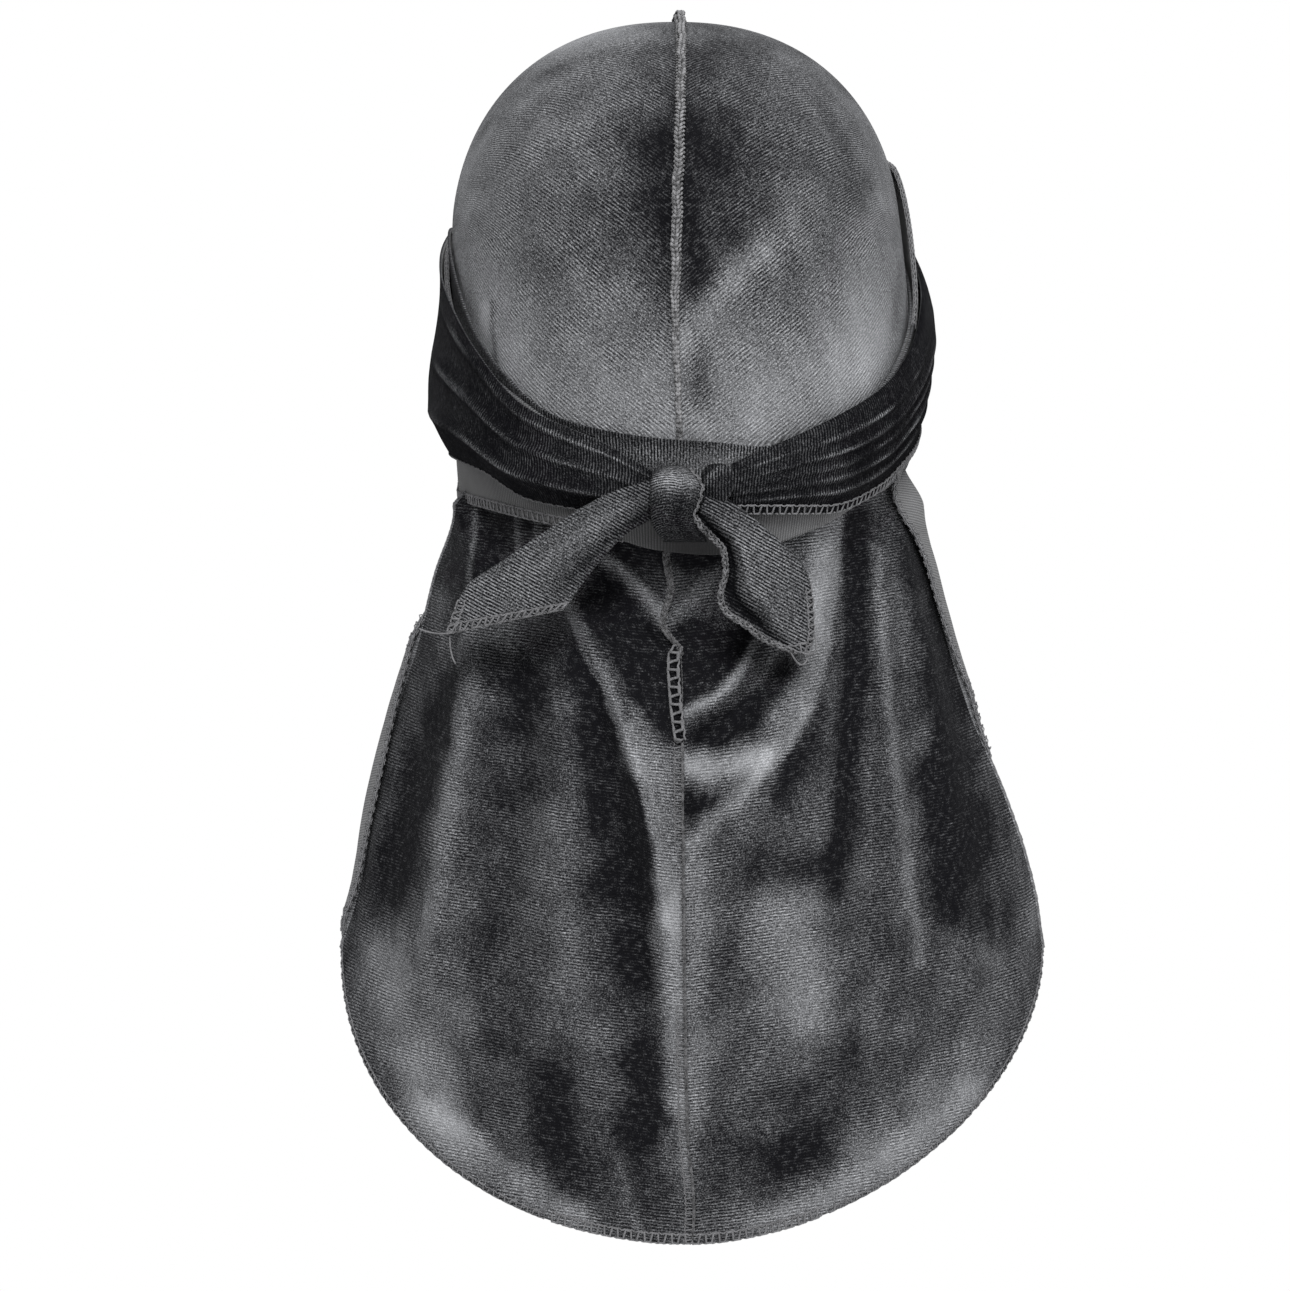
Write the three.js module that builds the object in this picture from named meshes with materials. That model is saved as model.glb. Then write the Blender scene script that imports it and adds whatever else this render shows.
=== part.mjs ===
// A velvet durag in the form that it has on a head. Two panels, joined by a centre seam, make
// the crown and the hanging cape. Two long straps start at the temples, cross behind the head,
// come round over the forehead, go back over themselves and end in a knot with two short tails.
// Millimetres. The forehead faces -Y, the wearer's left is +X, the top of the head is the origin.
import * as THREE from 'three';

// ---- Driving dimensions ------------------------------------------------------------------
const PANEL_CLOTH = 1.2;     // wall of the velvet of crown and cape
const STRAP_CLOTH = 1.0;     // wall of the straps and tails
const GAP = 0.35;            // clearance between pieces that touch
const SEAM_GAP = 0.65;       // from the panels to the seam allowance
const LAYER_PITCH = 1.8;     // from one layer of strap to the next
const FIRST_LAYER = 0.62;    // from the crown to the first layer

// The form that the cloth lies on: a head, seen from above as an oval.
const HEAD = {
  halfWidth: 75,
  back: 97,
  front: 95,
  top: 76.9,                 // from the level of the ears up
  earLevel: -77,
  squareness: 2.25,
  side: { lost: 0.04, below: 73, power: 2 },   // share of the half width lost, so far below the ears
  nape: { lost: 0.2, below: 100, power: 1.7 }, // share of the back lost
};

// The head leans a little: how far to the wearer's left its middle lies.
const HEAD_LEAN = [
  { level: 10, x: 2.2 },
  { level: -60, x: 2.2 },
  { level: -105, x: -0.6 },
  { level: -190, x: 0 },
];

const FRONT_HEM = -96;       // crown row at the front hem, degrees from the top of the head
const BACK_ROW = 90;         // crown row at the ears' level behind
const EAR_REACH = 84;        // how far a crown row runs from the midline towards the ear
const NAPE_REACH = 66;       // the same at the nape
const NAPE_LEVEL = -150;

// Rows across the hanging half of a panel, from the nape down: where the row starts on the
// midline, where it ends at the side edge, and its half width on either side.
const CAPE_ROWS = [
  { midY: 88, midZ: -143, edgeY: 36, edgeZ: -143, left: 74, right: 75 },
  { midY: 78, midZ: -177, edgeY: 32, edgeZ: -163, left: 74.5, right: 75.5 },
  { midY: 79, midZ: -205, edgeY: 30, edgeZ: -184, left: 81, right: 80.5 },
  { midY: 88, midZ: -235, edgeY: 29, edgeZ: -206, left: 86.5, right: 86.5 },
  { midY: 95, midZ: -270, edgeY: 29, edgeZ: -229, left: 93.5, right: 94 },
  { midY: 94, midZ: -313, edgeY: 30, edgeZ: -258, left: 100.8, right: 106 },
  { midY: 90, midZ: -357, edgeY: 33, edgeZ: -284, left: 105, right: 114 },
  { midY: 86, midZ: -395, edgeY: 36, edgeZ: -306, left: 111.5, right: 117.5 },
];
// How far round towards the front a row goes, in degrees: 90 is a whole quarter of an oval.
const CAPE_TURN = [
  { row: 0, turn: 72 },
  { row: 4, turn: 72 },
  { row: 5.5, turn: 80 },
  { row: 7, turn: 90 },
];
// Where the cape leaves the head's form, below the straps, and the fall that this takes.
const LEAVING = {
  middle: { level: -179, fall: 22 },
  left: { level: -162, fall: 10 },
  right: { level: -156.5, fall: 11 },
};
// How full the rows are, at the nape and at the bottom hem: 2 is an ellipse.
const CAPE_SQUARENESS = {
  left: { nape: 2.15, hem: 2.04 },
  right: { nape: 2.05, hem: 1.8 },
};

// The centre seam wanders: how far to the wearer's left it lies. `at` is the crown row's angle
// from the top of the head, and past BACK_ROW one more for each millimetre down.
const SEAM_DRIFT = [
  { at: -96, x: -1 },
  { at: 0, x: -0.6 },
  { at: 43, x: -1.2 },
  { at: 76, x: -0.7 },
  { at: 96, x: 1.6 },
  { at: 118, x: 3.4 },
  { at: 150, x: 2.5 },
  { at: 170, x: 3.5 },
  { at: 189, x: 5.8 },
  { at: 211, x: 5.2 },
  { at: 227, x: 2 },
  { at: 290, x: 0.4 },
  { at: 370, x: -0.8 },
  { at: 398, x: -3 },
  { at: 412, x: -2 },
];

// Folds of the panels. Each runs from one place on the cloth to another, as seen from behind,
// past a middle point that bends it. Height is out from the cloth, so a valley is negative.
const PANEL_FOLDS = {
  left: [
    { from: [66, -178], via: [74, -244], to: [83, -318], width: 7, height: 5 },
    { from: [86, -240], via: [95, -275], to: [100, -312], width: 7, height: -2.5 },
    { from: [50, -176], via: [53, -240], to: [58, -300], width: 9, height: -5 },
    { from: [36, -215], via: [39, -260], to: [41, -300], width: 8, height: 3 },
    { from: [36, -190], via: [15, -236], to: [1, -312], width: 7, height: 8 },
    { from: [27, -214], via: [21, -262], to: [14, -322], width: 8, height: -5 },
    { from: [0, -188], via: [9, -204], to: [24, -184], width: 13, height: -7 },
    { from: [76, -78], via: [69, -100], to: [60, -117], width: 3.5, height: -1.6 },
  ],
  right: [
    { from: [42, -182], via: [39, -226], to: [0, -262], width: 8, height: 6 },
    { from: [26, -200], via: [20, -222], to: [0, -230], width: 5, height: 4 },
    { from: [35, -196], via: [25, -228], to: [3, -240], width: 5, height: -4 },
    { from: [53, -176], via: [56, -235], to: [58, -296], width: 8, height: -5 },
    { from: [61, -176], via: [65, -235], to: [69, -300], width: 6, height: 4 },
    { from: [74, -182], via: [86, -240], to: [92, -318], width: 7, height: 3.5 },
    { from: [0, -188], via: [9, -200], to: [24, -184], width: 13, height: -7 },
    { from: [72, -80], via: [70, -92], to: [69, -104], width: 3, height: -1.6 },
  ],
};

// Where folds are flat: shares of the way across a panel at the seam and at the side edge, the
// levels (downwards) at which they have gone under the straps, and the level above which no
// fold reaches.
const FOLD_FADE = { atSeam: [0, 0.06], atEdge: [0.86, 0.96], underStraps: [112, 124], belowLevel: -73 };

// The side edges of the cape curl outwards and show the wrong side: how much cloth has turned.
const EDGE_CURL = {
  left: [
    { level: -196, turned: 0 },
    { level: -206, turned: 5 },
    { level: -228, turned: 8.5 },
    { level: -256, turned: 11.5 },
    { level: -280, turned: 9 },
    { level: -303, turned: 0 },
  ],
  right: [
    { level: -160, turned: 0 },
    { level: -168, turned: 13 },
    { level: -190, turned: 12 },
    { level: -222, turned: 8 },
    { level: -246, turned: 0 },
  ],
};
const CURL_RADIUS = 1.3;     // on the velvet side, inside the turn
const CURL_LEAST = 4;        // less turned cloth than this only makes the edge a little wider
const EDGE_ALLOWANCE = 1.5;  // by this much
const NEAR_EDGE = 0.97;      // share of the way across at which the edge's direction is taken

// Straps, from the temple on: turn is the angle still to go to the middle of the back, so a
// strap starts at 125, passes behind the head at 0 and over the forehead at -180, and its
// second round ends near -350. Layer counts the thicknesses of strap outwards.
const STRAP_ROWS = {
  left: [
    { turn: 125, top: -50, bottom: -95, layer: 1 },
    { turn: 90, top: -68, bottom: -128, layer: 1 },
    { turn: 50, top: -111, bottom: -148, layer: 1 },
    { turn: 25, top: -134, bottom: -158, layer: 1 },
    { turn: 6, top: -144, bottom: -159.6, layer: 1 },
    { turn: -6, top: -144, bottom: -159.6, layer: 2 },
    { turn: -15, top: -143, bottom: -162, layer: 2 },
    { turn: -25, top: -134, bottom: -164, layer: 2 },
    { turn: -50, top: -109, bottom: -157, layer: 2 },
    { turn: -75, top: -75, bottom: -146, layer: 2 },
    { turn: -95, top: -46, bottom: -128, layer: 2 },
    { turn: -130, top: -38, bottom: -102, layer: 2 },
    { turn: -172, top: -38, bottom: -60, layer: 2 },
    { turn: -188, top: -38, bottom: -60, layer: 3 },
    { turn: -215, top: -42, bottom: -90, layer: 3 },
    { turn: -240, top: -60, bottom: -118, layer: 3 },
    { turn: -270, top: -79, bottom: -140, layer: 3 },
    { turn: -292, top: -93.5, bottom: -143, layer: 3 },
    { turn: -310, top: -111.5, bottom: -151, layer: 3 },
    { turn: -326, top: -131, bottom: -161, layer: 3 },
    { turn: -345, top: -144.5, bottom: -165.5, layer: 3 },
    { turn: -353.4, top: -152.5, bottom: -166, layer: 3 },
  ],
  right: [
    { turn: 125, top: -50, bottom: -95, layer: 1 },
    { turn: 90, top: -68, bottom: -135, layer: 1 },
    { turn: 65, top: -95, bottom: -152.5, layer: 1 },
    { turn: 45, top: -114.5, bottom: -161, layer: 1 },
    { turn: 30, top: -134, bottom: -170.5, layer: 1 },
    { turn: 15, top: -151, bottom: -177, layer: 1 },
    { turn: 6, top: -160.4, bottom: -178.4, layer: 1 },
    { turn: -6, top: -160.4, bottom: -177, layer: 2 },
    { turn: -15, top: -152, bottom: -173.5, layer: 2 },
    { turn: -30, top: -134.5, bottom: -168.4, layer: 2 },
    { turn: -60, top: -108, bottom: -161, layer: 2 },
    { turn: -90, top: -82, bottom: -157, layer: 2 },
    { turn: -120, top: -60, bottom: -128, layer: 2 },
    { turn: -150, top: -50, bottom: -98, layer: 2 },
    { turn: -172, top: -60.8, bottom: -82, layer: 2 },
    { turn: -188, top: -60.8, bottom: -82, layer: 3 },
    { turn: -215, top: -46, bottom: -92, layer: 3 },
    { turn: -240, top: -60, bottom: -116, layer: 3 },
    { turn: -270, top: -82, bottom: -138, layer: 3 },
    { turn: -289, top: -96, bottom: -143, layer: 3 },
    { turn: -302, top: -111.5, bottom: -150, layer: 3 },
    { turn: -313, top: -122.5, bottom: -158, layer: 3 },
    { turn: -329, top: -134.5, bottom: -165, layer: 3 },
    { turn: -351, top: -150, bottom: -165.5, layer: 3 },
  ],
};

// Folds along the last round of each strap: where across the band, how wide and how high.
const STRAP_FOLDS = [
  { across: 0.12, width: 0.1, height: 1.6 },
  { across: 0.42, width: 0.1, height: 2.2 },
  { across: 0.74, width: 0.1, height: 3.2 },
];
// How far the slack band stands off between them, and how low the fullest place is: above 1 is
// below the middle.
const STRAP_SWELL = {
  left: { height: 5.8, lowness: 1.2 },
  right: { height: 4.4, lowness: 0.85 },
};
const FOLDS_START = -215;    // turn where swell and folds begin to rise
const FOLDS_FULL = -270;
const KNOT_PULL = { from: -322, to: -350, left: 0.4 };  // where the knot draws them flat again

// The tails, section by section from the knot: the ends of the section, and how far its
// middle bulges outwards.
const TAIL_SECTIONS = {
  left: [
    { upper: [8.9, 92.6, -156], lower: [8.6, 92.8, -166], bulge: 2 },
    { upper: [22, 92.8, -158.6], lower: [18, 93.2, -172], bulge: 5 },
    { upper: [31, 91.5, -163], lower: [24.5, 93.5, -178.5], bulge: 6 },
    { upper: [44.5, 88.5, -171.6], lower: [29.5, 93, -184.5], bulge: 6 },
    { upper: [58, 84, -180.7], lower: [33.5, 91.5, -189.8], bulge: 5 },
    { upper: [69, 80.5, -188.5], lower: [36, 90.5, -193.5], bulge: 3 },
    { upper: [75, 79, -203], lower: [38, 90, -195.5], bulge: 1 },
  ],
  right: [
    { upper: [-8, 99.1, -158], lower: [-6.9, 99.1, -167], bulge: 0 },
    { upper: [-14, 98, -161.5], lower: [-8.2, 99.6, -170], bulge: 1.5 },
    { upper: [-21, 95.5, -166.7], lower: [-9.6, 99.6, -173.6], bulge: 3 },
    { upper: [-28, 93.5, -172.5], lower: [-12.2, 99.5, -178], bulge: 5 },
    { upper: [-33.5, 92, -177.5], lower: [-12.7, 100, -184], bulge: 6 },
    { upper: [-37.5, 90.5, -182.5], lower: [-10.9, 100, -192], bulge: 5 },
    { upper: [-39.5, 89.5, -188], lower: [-12.6, 99.5, -196.5], bulge: 4 },
    { upper: [-40.3, 89, -195], lower: [-19.2, 98, -201], bulge: 3 },
    { upper: [-40.6, 89, -202], lower: [-24.4, 96.5, -205], bulge: 2 },
    { upper: [-39, 89, -209], lower: [-34, 94, -209], bulge: 1 },
  ],
};

// The knot: the tucked lump, and the turn of strap that is drawn over it.
const KNOT_CORE = { centre: [-2.6, 93.8, -160.8], radii: [10.6, 4.2, 6.2] };
const KNOT_LOOP = {
  x: 1.6,
  halfWidth: 7.4,
  top: -151,
  bottom: -172.5,
  topY: 91.9,
  bottomY: 86.1,
  rise: 15.1,
  rounding: 2.5,
  narrow: 0.72,              // share of the width left at its ends
  fullness: 0.5,             // the smaller, the steeper it rises at its ends
  wall: 1.6,
};

// The centre seam: its seam allowance stands up outside, tall on the crown and flat below.
const CROWN_SEAM = {
  from: -58,                 // as SEAM_DRIFT counts it
  to: 158,
  width: 2.6,
  height: 4,
  endHeight: 0.8,
  flattens: 0.62,            // share of its length
  lean: 0.8,
};
const CAPE_SEAM = { from: 196, to: 413, width: 2.2, height: 1.8 };
// Their section, as shares of the width and of the height.
const SEAM_SECTION = [[-0.5, 0], [-0.5, 0.7], [-0.2, 1], [0.2, 1], [0.5, 0.7], [0.5, 0]];

// How finely the surfaces are divided.
const DETAIL = {
  crownRows: 14,
  napeRows: 5,
  capeRows: 13,
  panelColumns: 11,
  curlColumns: 3,
  strapStep: 9,              // degrees
  strapColumns: 7,
  tailRows: 7,
  tailColumns: 6,
  loopRows: 8,
  loopColumns: 4,
  foldPoints: 16,
};

// ---- Colours and finishes ----------------------------------------------------------------
const velvet = () => new THREE.MeshStandardMaterial({ color: 0x3a3b3d, roughness: 0.85, metalness: 0 });
const darkVelvet = () => new THREE.MeshStandardMaterial({ color: 0x1d1d1f, roughness: 0.8, metalness: 0 });
const seamThread = () => new THREE.MeshStandardMaterial({ color: 0x4c4d50, roughness: 0.9, metalness: 0 });

// ---- Small helpers -----------------------------------------------------------------------
const radians = THREE.MathUtils.degToRad;
const mix = THREE.MathUtils.lerp;
const smooth = (value, low, high) => THREE.MathUtils.smoothstep(value, low, high);
const power = (value, exponent) => Math.abs(value) ** exponent;

/** Evenly spaced numbers from first to last, with both ends. */
function spread(first, last, steps) {
  return Array.from({ length: steps + 1 }, (_, i) => mix(first, last, i / steps));
}

/** A smooth curve through table rows that never overshoots them, as a function of `key`. */
function columnOf(rows, key, name) {
  const order = rows[0][key] < rows[1][key] ? rows : [...rows].reverse();
  const xs = order.map((row) => row[key]);
  const ys = order.map((row) => row[name]);
  const steep = xs.slice(1).map((x, i) => (ys[i + 1] - ys[i]) / (x - xs[i]));
  const slopes = ys.map((_, i) => {
    if (i === 0) return steep[0];
    if (i === steep.length) return steep[i - 1];
    const [before, after] = [steep[i - 1], steep[i]];
    return before * after <= 0 ? 0 : (2 * before * after) / (before + after);
  });
  return (x) => {
    let i = 0;
    while (i < xs.length - 2 && x > xs[i + 1]) i += 1;
    const span = xs[i + 1] - xs[i];
    const t = THREE.MathUtils.clamp((x - xs[i]) / span, 0, 1);
    const bend = t * (1 - t);
    const line = mix(ys[i], ys[i + 1], t);
    const pull = (slopes[i] - steep[i]) * (1 - t) - (slopes[i + 1] - steep[i]) * t;
    return line + span * bend * pull;
  };
}

/** Turns triangles over if they enclose the solid inside out, and makes a named mesh. */
function closedMesh(name, points, triangles, material) {
  const volume = triangles.reduce((sum, [a, b, c]) => {
    const cross = new THREE.Vector3().crossVectors(points[b], points[c]);
    return sum + points[a].dot(cross);
  }, 0);
  const turned = volume < 0 ? triangles.map(([a, b, c]) => [a, c, b]) : triangles;
  const geometry = new THREE.BufferGeometry().setFromPoints(points);
  geometry.setIndex(turned.flat());
  geometry.computeVertexNormals();
  const mesh = new THREE.Mesh(geometry, material);
  mesh.name = name;
  return mesh;
}

/** Two triangles for every cell of a grid of point numbers. */
function gridTriangles(rows, columns, at) {
  const triangles = [];
  for (let i = 0; i < rows; i += 1) {
    for (let j = 0; j < columns; j += 1) {
      triangles.push([at(i, j), at(i + 1, j), at(i + 1, j + 1)]);
      triangles.push([at(i, j), at(i + 1, j + 1), at(i, j + 1)]);
    }
  }
  return triangles;
}

/**
 * A wall of cloth: `face` gives the outside, and the inside lies `wall` behind it, on the side
 * that along-u cross along-v points to, or on the other side where `wall` is negative.
 */
function clothSolid(name, face, us, vs, wall, material, trim = (point) => point) {
  const outer = us.flatMap((u) => vs.map((v) => face(u, v)));
  const wide = vs.length;
  const along = (i, j) => outer[i * wide + j];
  const inner = us.flatMap((u, i) => vs.map((v, j) => {
    const down = along(Math.min(i + 1, us.length - 1), j).clone().sub(along(Math.max(i - 1, 0), j));
    const across = along(i, Math.min(j + 1, wide - 1)).clone().sub(along(i, Math.max(j - 1, 0)));
    const inward = down.cross(across).normalize().multiplyScalar(wall);
    return trim(along(i, j).clone().add(inward), u);
  }));
  const rows = us.length - 1;
  const columns = wide - 1;
  const behind = outer.length;
  const front = (i, j) => i * wide + j;
  const back = (i, j) => behind + front(i, columns - j);
  const rim = [
    ...vs.map((_, j) => front(0, j)),
    ...us.slice(1).map((_, i) => front(i + 1, columns)),
    ...vs.slice(1).map((_, j) => front(rows, columns - 1 - j)),
    ...us.slice(1, -1).map((_, i) => front(rows - 1 - i, 0)),
  ];
  const edges = rim.flatMap((a, k) => {
    const b = rim[(k + 1) % rim.length];
    return [[a, b, b + behind], [a, b + behind, a + behind]];
  });
  const triangles = [
    ...gridTriangles(rows, columns, front),
    ...gridTriangles(rows, columns, back),
    ...edges,
  ];
  return closedMesh(name, [...outer, ...inner], triangles, material);
}

/** A bar with a closed section: `sections` are rings of points, capped at both ends. */
function barSolid(name, sections, material) {
  const sides = sections[0].length;
  const points = sections.flat();
  const at = (i, j) => i * sides + (j % sides);
  const triangles = gridTriangles(sections.length - 1, sides, at);
  const last = (sections.length - 1) * sides;
  for (let j = 1; j < sides - 1; j += 1) {
    triangles.push([0, j, j + 1]);
    triangles.push([last, last + j + 1, last + j]);
  }
  return closedMesh(name, points, triangles, material);
}

// ---- The head's form ---------------------------------------------------------------------
/** Distance from the head's axis to its surface, at an angle from the middle of the back. */
function headRadius(angle, z) {
  const n = HEAD.squareness;
  const below = Math.max(0, HEAD.earLevel - z);
  const above = Math.max(0, z - HEAD.earLevel);
  const kept = (taper) => 1 - taper.lost * (below / taper.below) ** taper.power;
  const width = HEAD.halfWidth * kept(HEAD.side);
  const back = HEAD.back * kept(HEAD.nape);
  const length = Math.cos(angle) > 0 ? back : HEAD.front;
  const level = Math.max(0, 1 - power(above / HEAD.top, n));
  const reach = power(Math.sin(angle) / width, n) + power(Math.cos(angle) / length, n);
  return (level / reach) ** (1 / n);
}

const headLean = columnOf(HEAD_LEAN, 'level', 'x');

/** A point at `off` outside the head's form. */
function onHead(angle, z, off = 0) {
  const radius = headRadius(angle, z) + off;
  const x = radius * Math.sin(angle) + headLean(z);
  return new THREE.Vector3(x, radius * Math.cos(angle), z);
}

/** A point of the crown, on the row at `tilt` from the top, `reach` out from the midline. */
function crownPoint(tilt, reach) {
  const n = HEAD.squareness;
  const direction = new THREE.Vector3(
    Math.sin(reach),
    Math.cos(reach) * Math.sin(tilt),
    Math.cos(reach) * Math.cos(tilt),
  );
  const length = direction.y > 0 ? HEAD.back : HEAD.front;
  const upward = Math.max(0, direction.z);
  const sum = power(direction.x / HEAD.halfWidth, n)
    + power(direction.y / length, n)
    + power(upward / HEAD.top, n);
  direction.multiplyScalar(sum ** (-1 / n));
  direction.z += HEAD.earLevel;
  direction.x += headLean(direction.z);
  return direction;
}

// ---- Panels ------------------------------------------------------------------------------
/** Distance from a place to a fold's line. */
function distanceToFold(fold, x, z) {
  const line = new THREE.QuadraticBezierCurve(
    new THREE.Vector2(...fold.from),
    new THREE.Vector2(...fold.via),
    new THREE.Vector2(...fold.to),
  );
  const place = new THREE.Vector2(x, z);
  return Math.min(...line.getPoints(DETAIL.foldPoints).map((point) => point.distanceTo(place)));
}

/** How far the folds of one side lift the cloth at a place. */
function foldLift(folds, x, z) {
  return folds.reduce((sum, fold) => {
    const distance = distanceToFold(fold, x, z);
    return sum + fold.height * Math.exp(-((distance / fold.width) ** 2));
  }, 0);
}

const seamDrift = columnOf(SEAM_DRIFT, 'at', 'x');
const capeTurn = columnOf(CAPE_TURN, 'row', 'turn');
const capeMidZ = columnOf(CAPE_ROWS.map(({ midZ }, index) => ({ midZ, index })), 'index', 'midZ');

/** Where a row across the panels meets the seam, as SEAM_DRIFT counts it. */
function seamPlace({ tilt, level, row }) {
  if (tilt !== undefined) return tilt;
  return BACK_ROW + HEAD.earLevel - (level ?? capeMidZ(row));
}

/** The outer face of one panel: row 0 is the front hem, and whole numbers are table rows. */
function panelFace(sideName) {
  const side = sideName === 'left' ? 1 : -1;
  const rows = CAPE_ROWS.map((row, index) => ({ ...row, index }));
  const column = (name) => columnOf(rows, 'index', name);
  const [midY, midZ, edgeY, edgeZ] = ['midY', 'midZ', 'edgeY', 'edgeZ'].map(column);
  const halfWidth = column(sideName);
  const { nape, hem } = CAPE_SQUARENESS[sideName];
  const folds = PANEL_FOLDS[sideName];

  // The angle from the midline at which a row has come, `v` of its way to the edge.
  const aside = (v, reach, place) => {
    const drift = (seamDrift(place) / HEAD.back) * (1 - v) ** 2;
    return side * radians(v * reach) + drift;
  };
  const napePoint = (v, z, place = seamPlace({ level: z })) => {
    const fall = THREE.MathUtils.clamp((HEAD.earLevel - z) / (HEAD.earLevel - NAPE_LEVEL), 0, 1);
    return onHead(aside(v, mix(EAR_REACH, NAPE_REACH, fall), place), z);
  };
  const { middle, [sideName]: atEdge } = LEAVING;
  const leaves = (v) => mix(middle.level, atEdge.level, v ** 3);
  const left = (v) => leaves(v) - mix(middle.fall, atEdge.fall, v ** 3);
  const capePoint = (row, v) => {
    const turn = radians(capeTurn(row));
    const exponent = 2 / mix(nape, hem, row / (CAPE_ROWS.length - 1));
    const last = Math.max(0, Math.cos(turn)) ** exponent;
    const inward = (Math.max(0, Math.cos(v * turn)) ** exponent - last) / (1 - last);
    const x = side * halfWidth(row) * (Math.sin(v * turn) / Math.sin(turn)) ** exponent;
    const hung = new THREE.Vector3(
      x,
      mix(edgeY(row), midY(row), inward),
      mix(edgeZ(row), midZ(row), inward),
    );
    hung.x += seamDrift(seamPlace({ row })) * (1 - v) ** 2;
    const worn = napePoint(v, hung.z, seamPlace({ row }));
    return worn.lerp(hung, smooth(-hung.z, -leaves(v), -left(v)));
  };
  // Folds lift the cloth straight back, and fade out at the strap, the seam and the edge.
  const folded = (point, v) => {
    const below = smooth(-point.z, -leaves(v), -mix(leaves(v), left(v), 0.5));
    const free = Math.max(below, 1 - smooth(-point.z, ...FOLD_FADE.underStraps));
    const fade = free * smooth(v, ...FOLD_FADE.atSeam) * (1 - smooth(v, ...FOLD_FADE.atEdge));
    const lifted = point.clone();
    lifted.y += foldLift(folds, side * point.x, point.z) * fade;
    return lifted;
  };
  return ({ tilt, level, row }, v) => {
    let point;
    if (tilt !== undefined) point = crownPoint(radians(tilt), aside(v, EAR_REACH, tilt));
    else if (level !== undefined) point = napePoint(v, level);
    else point = capePoint(row, v);
    if (point.y > 0 && point.z < FOLD_FADE.belowLevel) point = folded(point, v);
    return v === 0 ? point.setX(point.x + (side * GAP) / 2) : point;
  };
}

/** Adds the curled side edge to a panel's face: v past 1 goes round the turn and back. */
function withCurl(face, sideName) {
  const turned = columnOf(EDGE_CURL[sideName], 'level', 'turned');
  const levels = EDGE_CURL[sideName].map((row) => row.level);
  const inCurl = (z) => z <= Math.max(...levels) && z >= Math.min(...levels);
  return (station, v) => {
    const edge = face(station, Math.min(v, 1));
    if (v <= 1) return edge;
    const inside = face(station, NEAR_EDGE);
    const out = edge.clone().sub(inside).normalize();
    const back = new THREE.Vector3(-out.y, out.x, 0).normalize();
    if (back.y < 0) back.negate();
    const cloth = inCurl(edge.z) ? Math.max(turned(edge.z), EDGE_ALLOWANCE) : EDGE_ALLOWANCE;
    const length = cloth * (v - 1);
    if (cloth <= CURL_LEAST) return edge.addScaledVector(out, length);
    const turn = Math.min(length / CURL_RADIUS, Math.PI);
    const straight = Math.max(0, length - Math.PI * CURL_RADIUS);
    const ahead = CURL_RADIUS * Math.sin(turn) - straight;
    return edge.addScaledVector(out, ahead).addScaledVector(back, CURL_RADIUS * (1 - Math.cos(turn)));
  };
}

/** All rows across the panels, from the front hem to the bottom hem. */
function panelStations() {
  const crown = spread(FRONT_HEM, BACK_ROW, DETAIL.crownRows).map((tilt) => ({ tilt }));
  const nape = spread(HEAD.earLevel, CAPE_ROWS[0].midZ, DETAIL.napeRows).map((level) => ({ level }));
  const cape = spread(0, CAPE_ROWS.length - 1, DETAIL.capeRows).map((row) => ({ row }));
  return [...crown, ...nape.slice(1), ...cape.slice(1)];
}

/** One half of crown and cape. */
function panel(sideName) {
  const stations = panelStations();
  const across = spread(0, 1, DETAIL.panelColumns);
  const curl = spread(1, 2, DETAIL.curlColumns).slice(1);
  const face = withCurl(panelFace(sideName), sideName);
  const places = [...across, ...curl];
  const side = sideName === 'left' ? 1 : -1;
  const wall = side * PANEL_CLOTH;
  const beforeSeam = (point, station) => {
    const seam = face(station, 0).x - (side * GAP) / 2;
    return point.setX(seam + side * Math.max(side * (point.x - seam), GAP / 2));
  };
  return clothSolid(`panel_${sideName}`, face, stations, places, wall, velvet(), beforeSeam);
}

// ---- Straps ------------------------------------------------------------------------------
/** How far the last round of a strap stands out, with its folds. */
function strapLift(turn, across, { height, lowness }) {
  const grown = smooth(-turn, -FOLDS_START, -FOLDS_FULL);
  const folds = STRAP_FOLDS.reduce((sum, fold) => {
    const distance = (across - fold.across) / fold.width;
    return sum + fold.height * Math.exp(-(distance ** 2));
  }, 0);
  const drawn = mix(1, KNOT_PULL.left, smooth(-turn, -KNOT_PULL.from, -KNOT_PULL.to));
  return grown * drawn * (folds + height * Math.sin(Math.PI * across ** lowness));
}

/** One strap, from its temple to the knot. */
function strap(sideName) {
  const side = sideName === 'left' ? 1 : -1;
  const rows = STRAP_ROWS[sideName];
  const [top, bottom, layer] = ['top', 'bottom', 'layer'].map((name) => columnOf(rows, 'turn', name));
  const face = (turn, across) => {
    const z = mix(top(turn), bottom(turn), across);
    const off = FIRST_LAYER + (layer(turn) - 1) * LAYER_PITCH + STRAP_CLOTH;
    return onHead(side * radians(turn), z, off + strapLift(turn, across, STRAP_SWELL[sideName]));
  };
  const turns = rows.slice(1).flatMap((row, i) => {
    const before = rows[i].turn;
    const steps = Math.ceil((before - row.turn) / DETAIL.strapStep);
    return spread(before, row.turn, steps).slice(i === 0 ? 0 : 1);
  });
  const across = spread(0, 1, DETAIL.strapColumns);
  return clothSolid(`strap_${sideName}`, face, turns, across, side * STRAP_CLOTH, darkVelvet());
}

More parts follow.
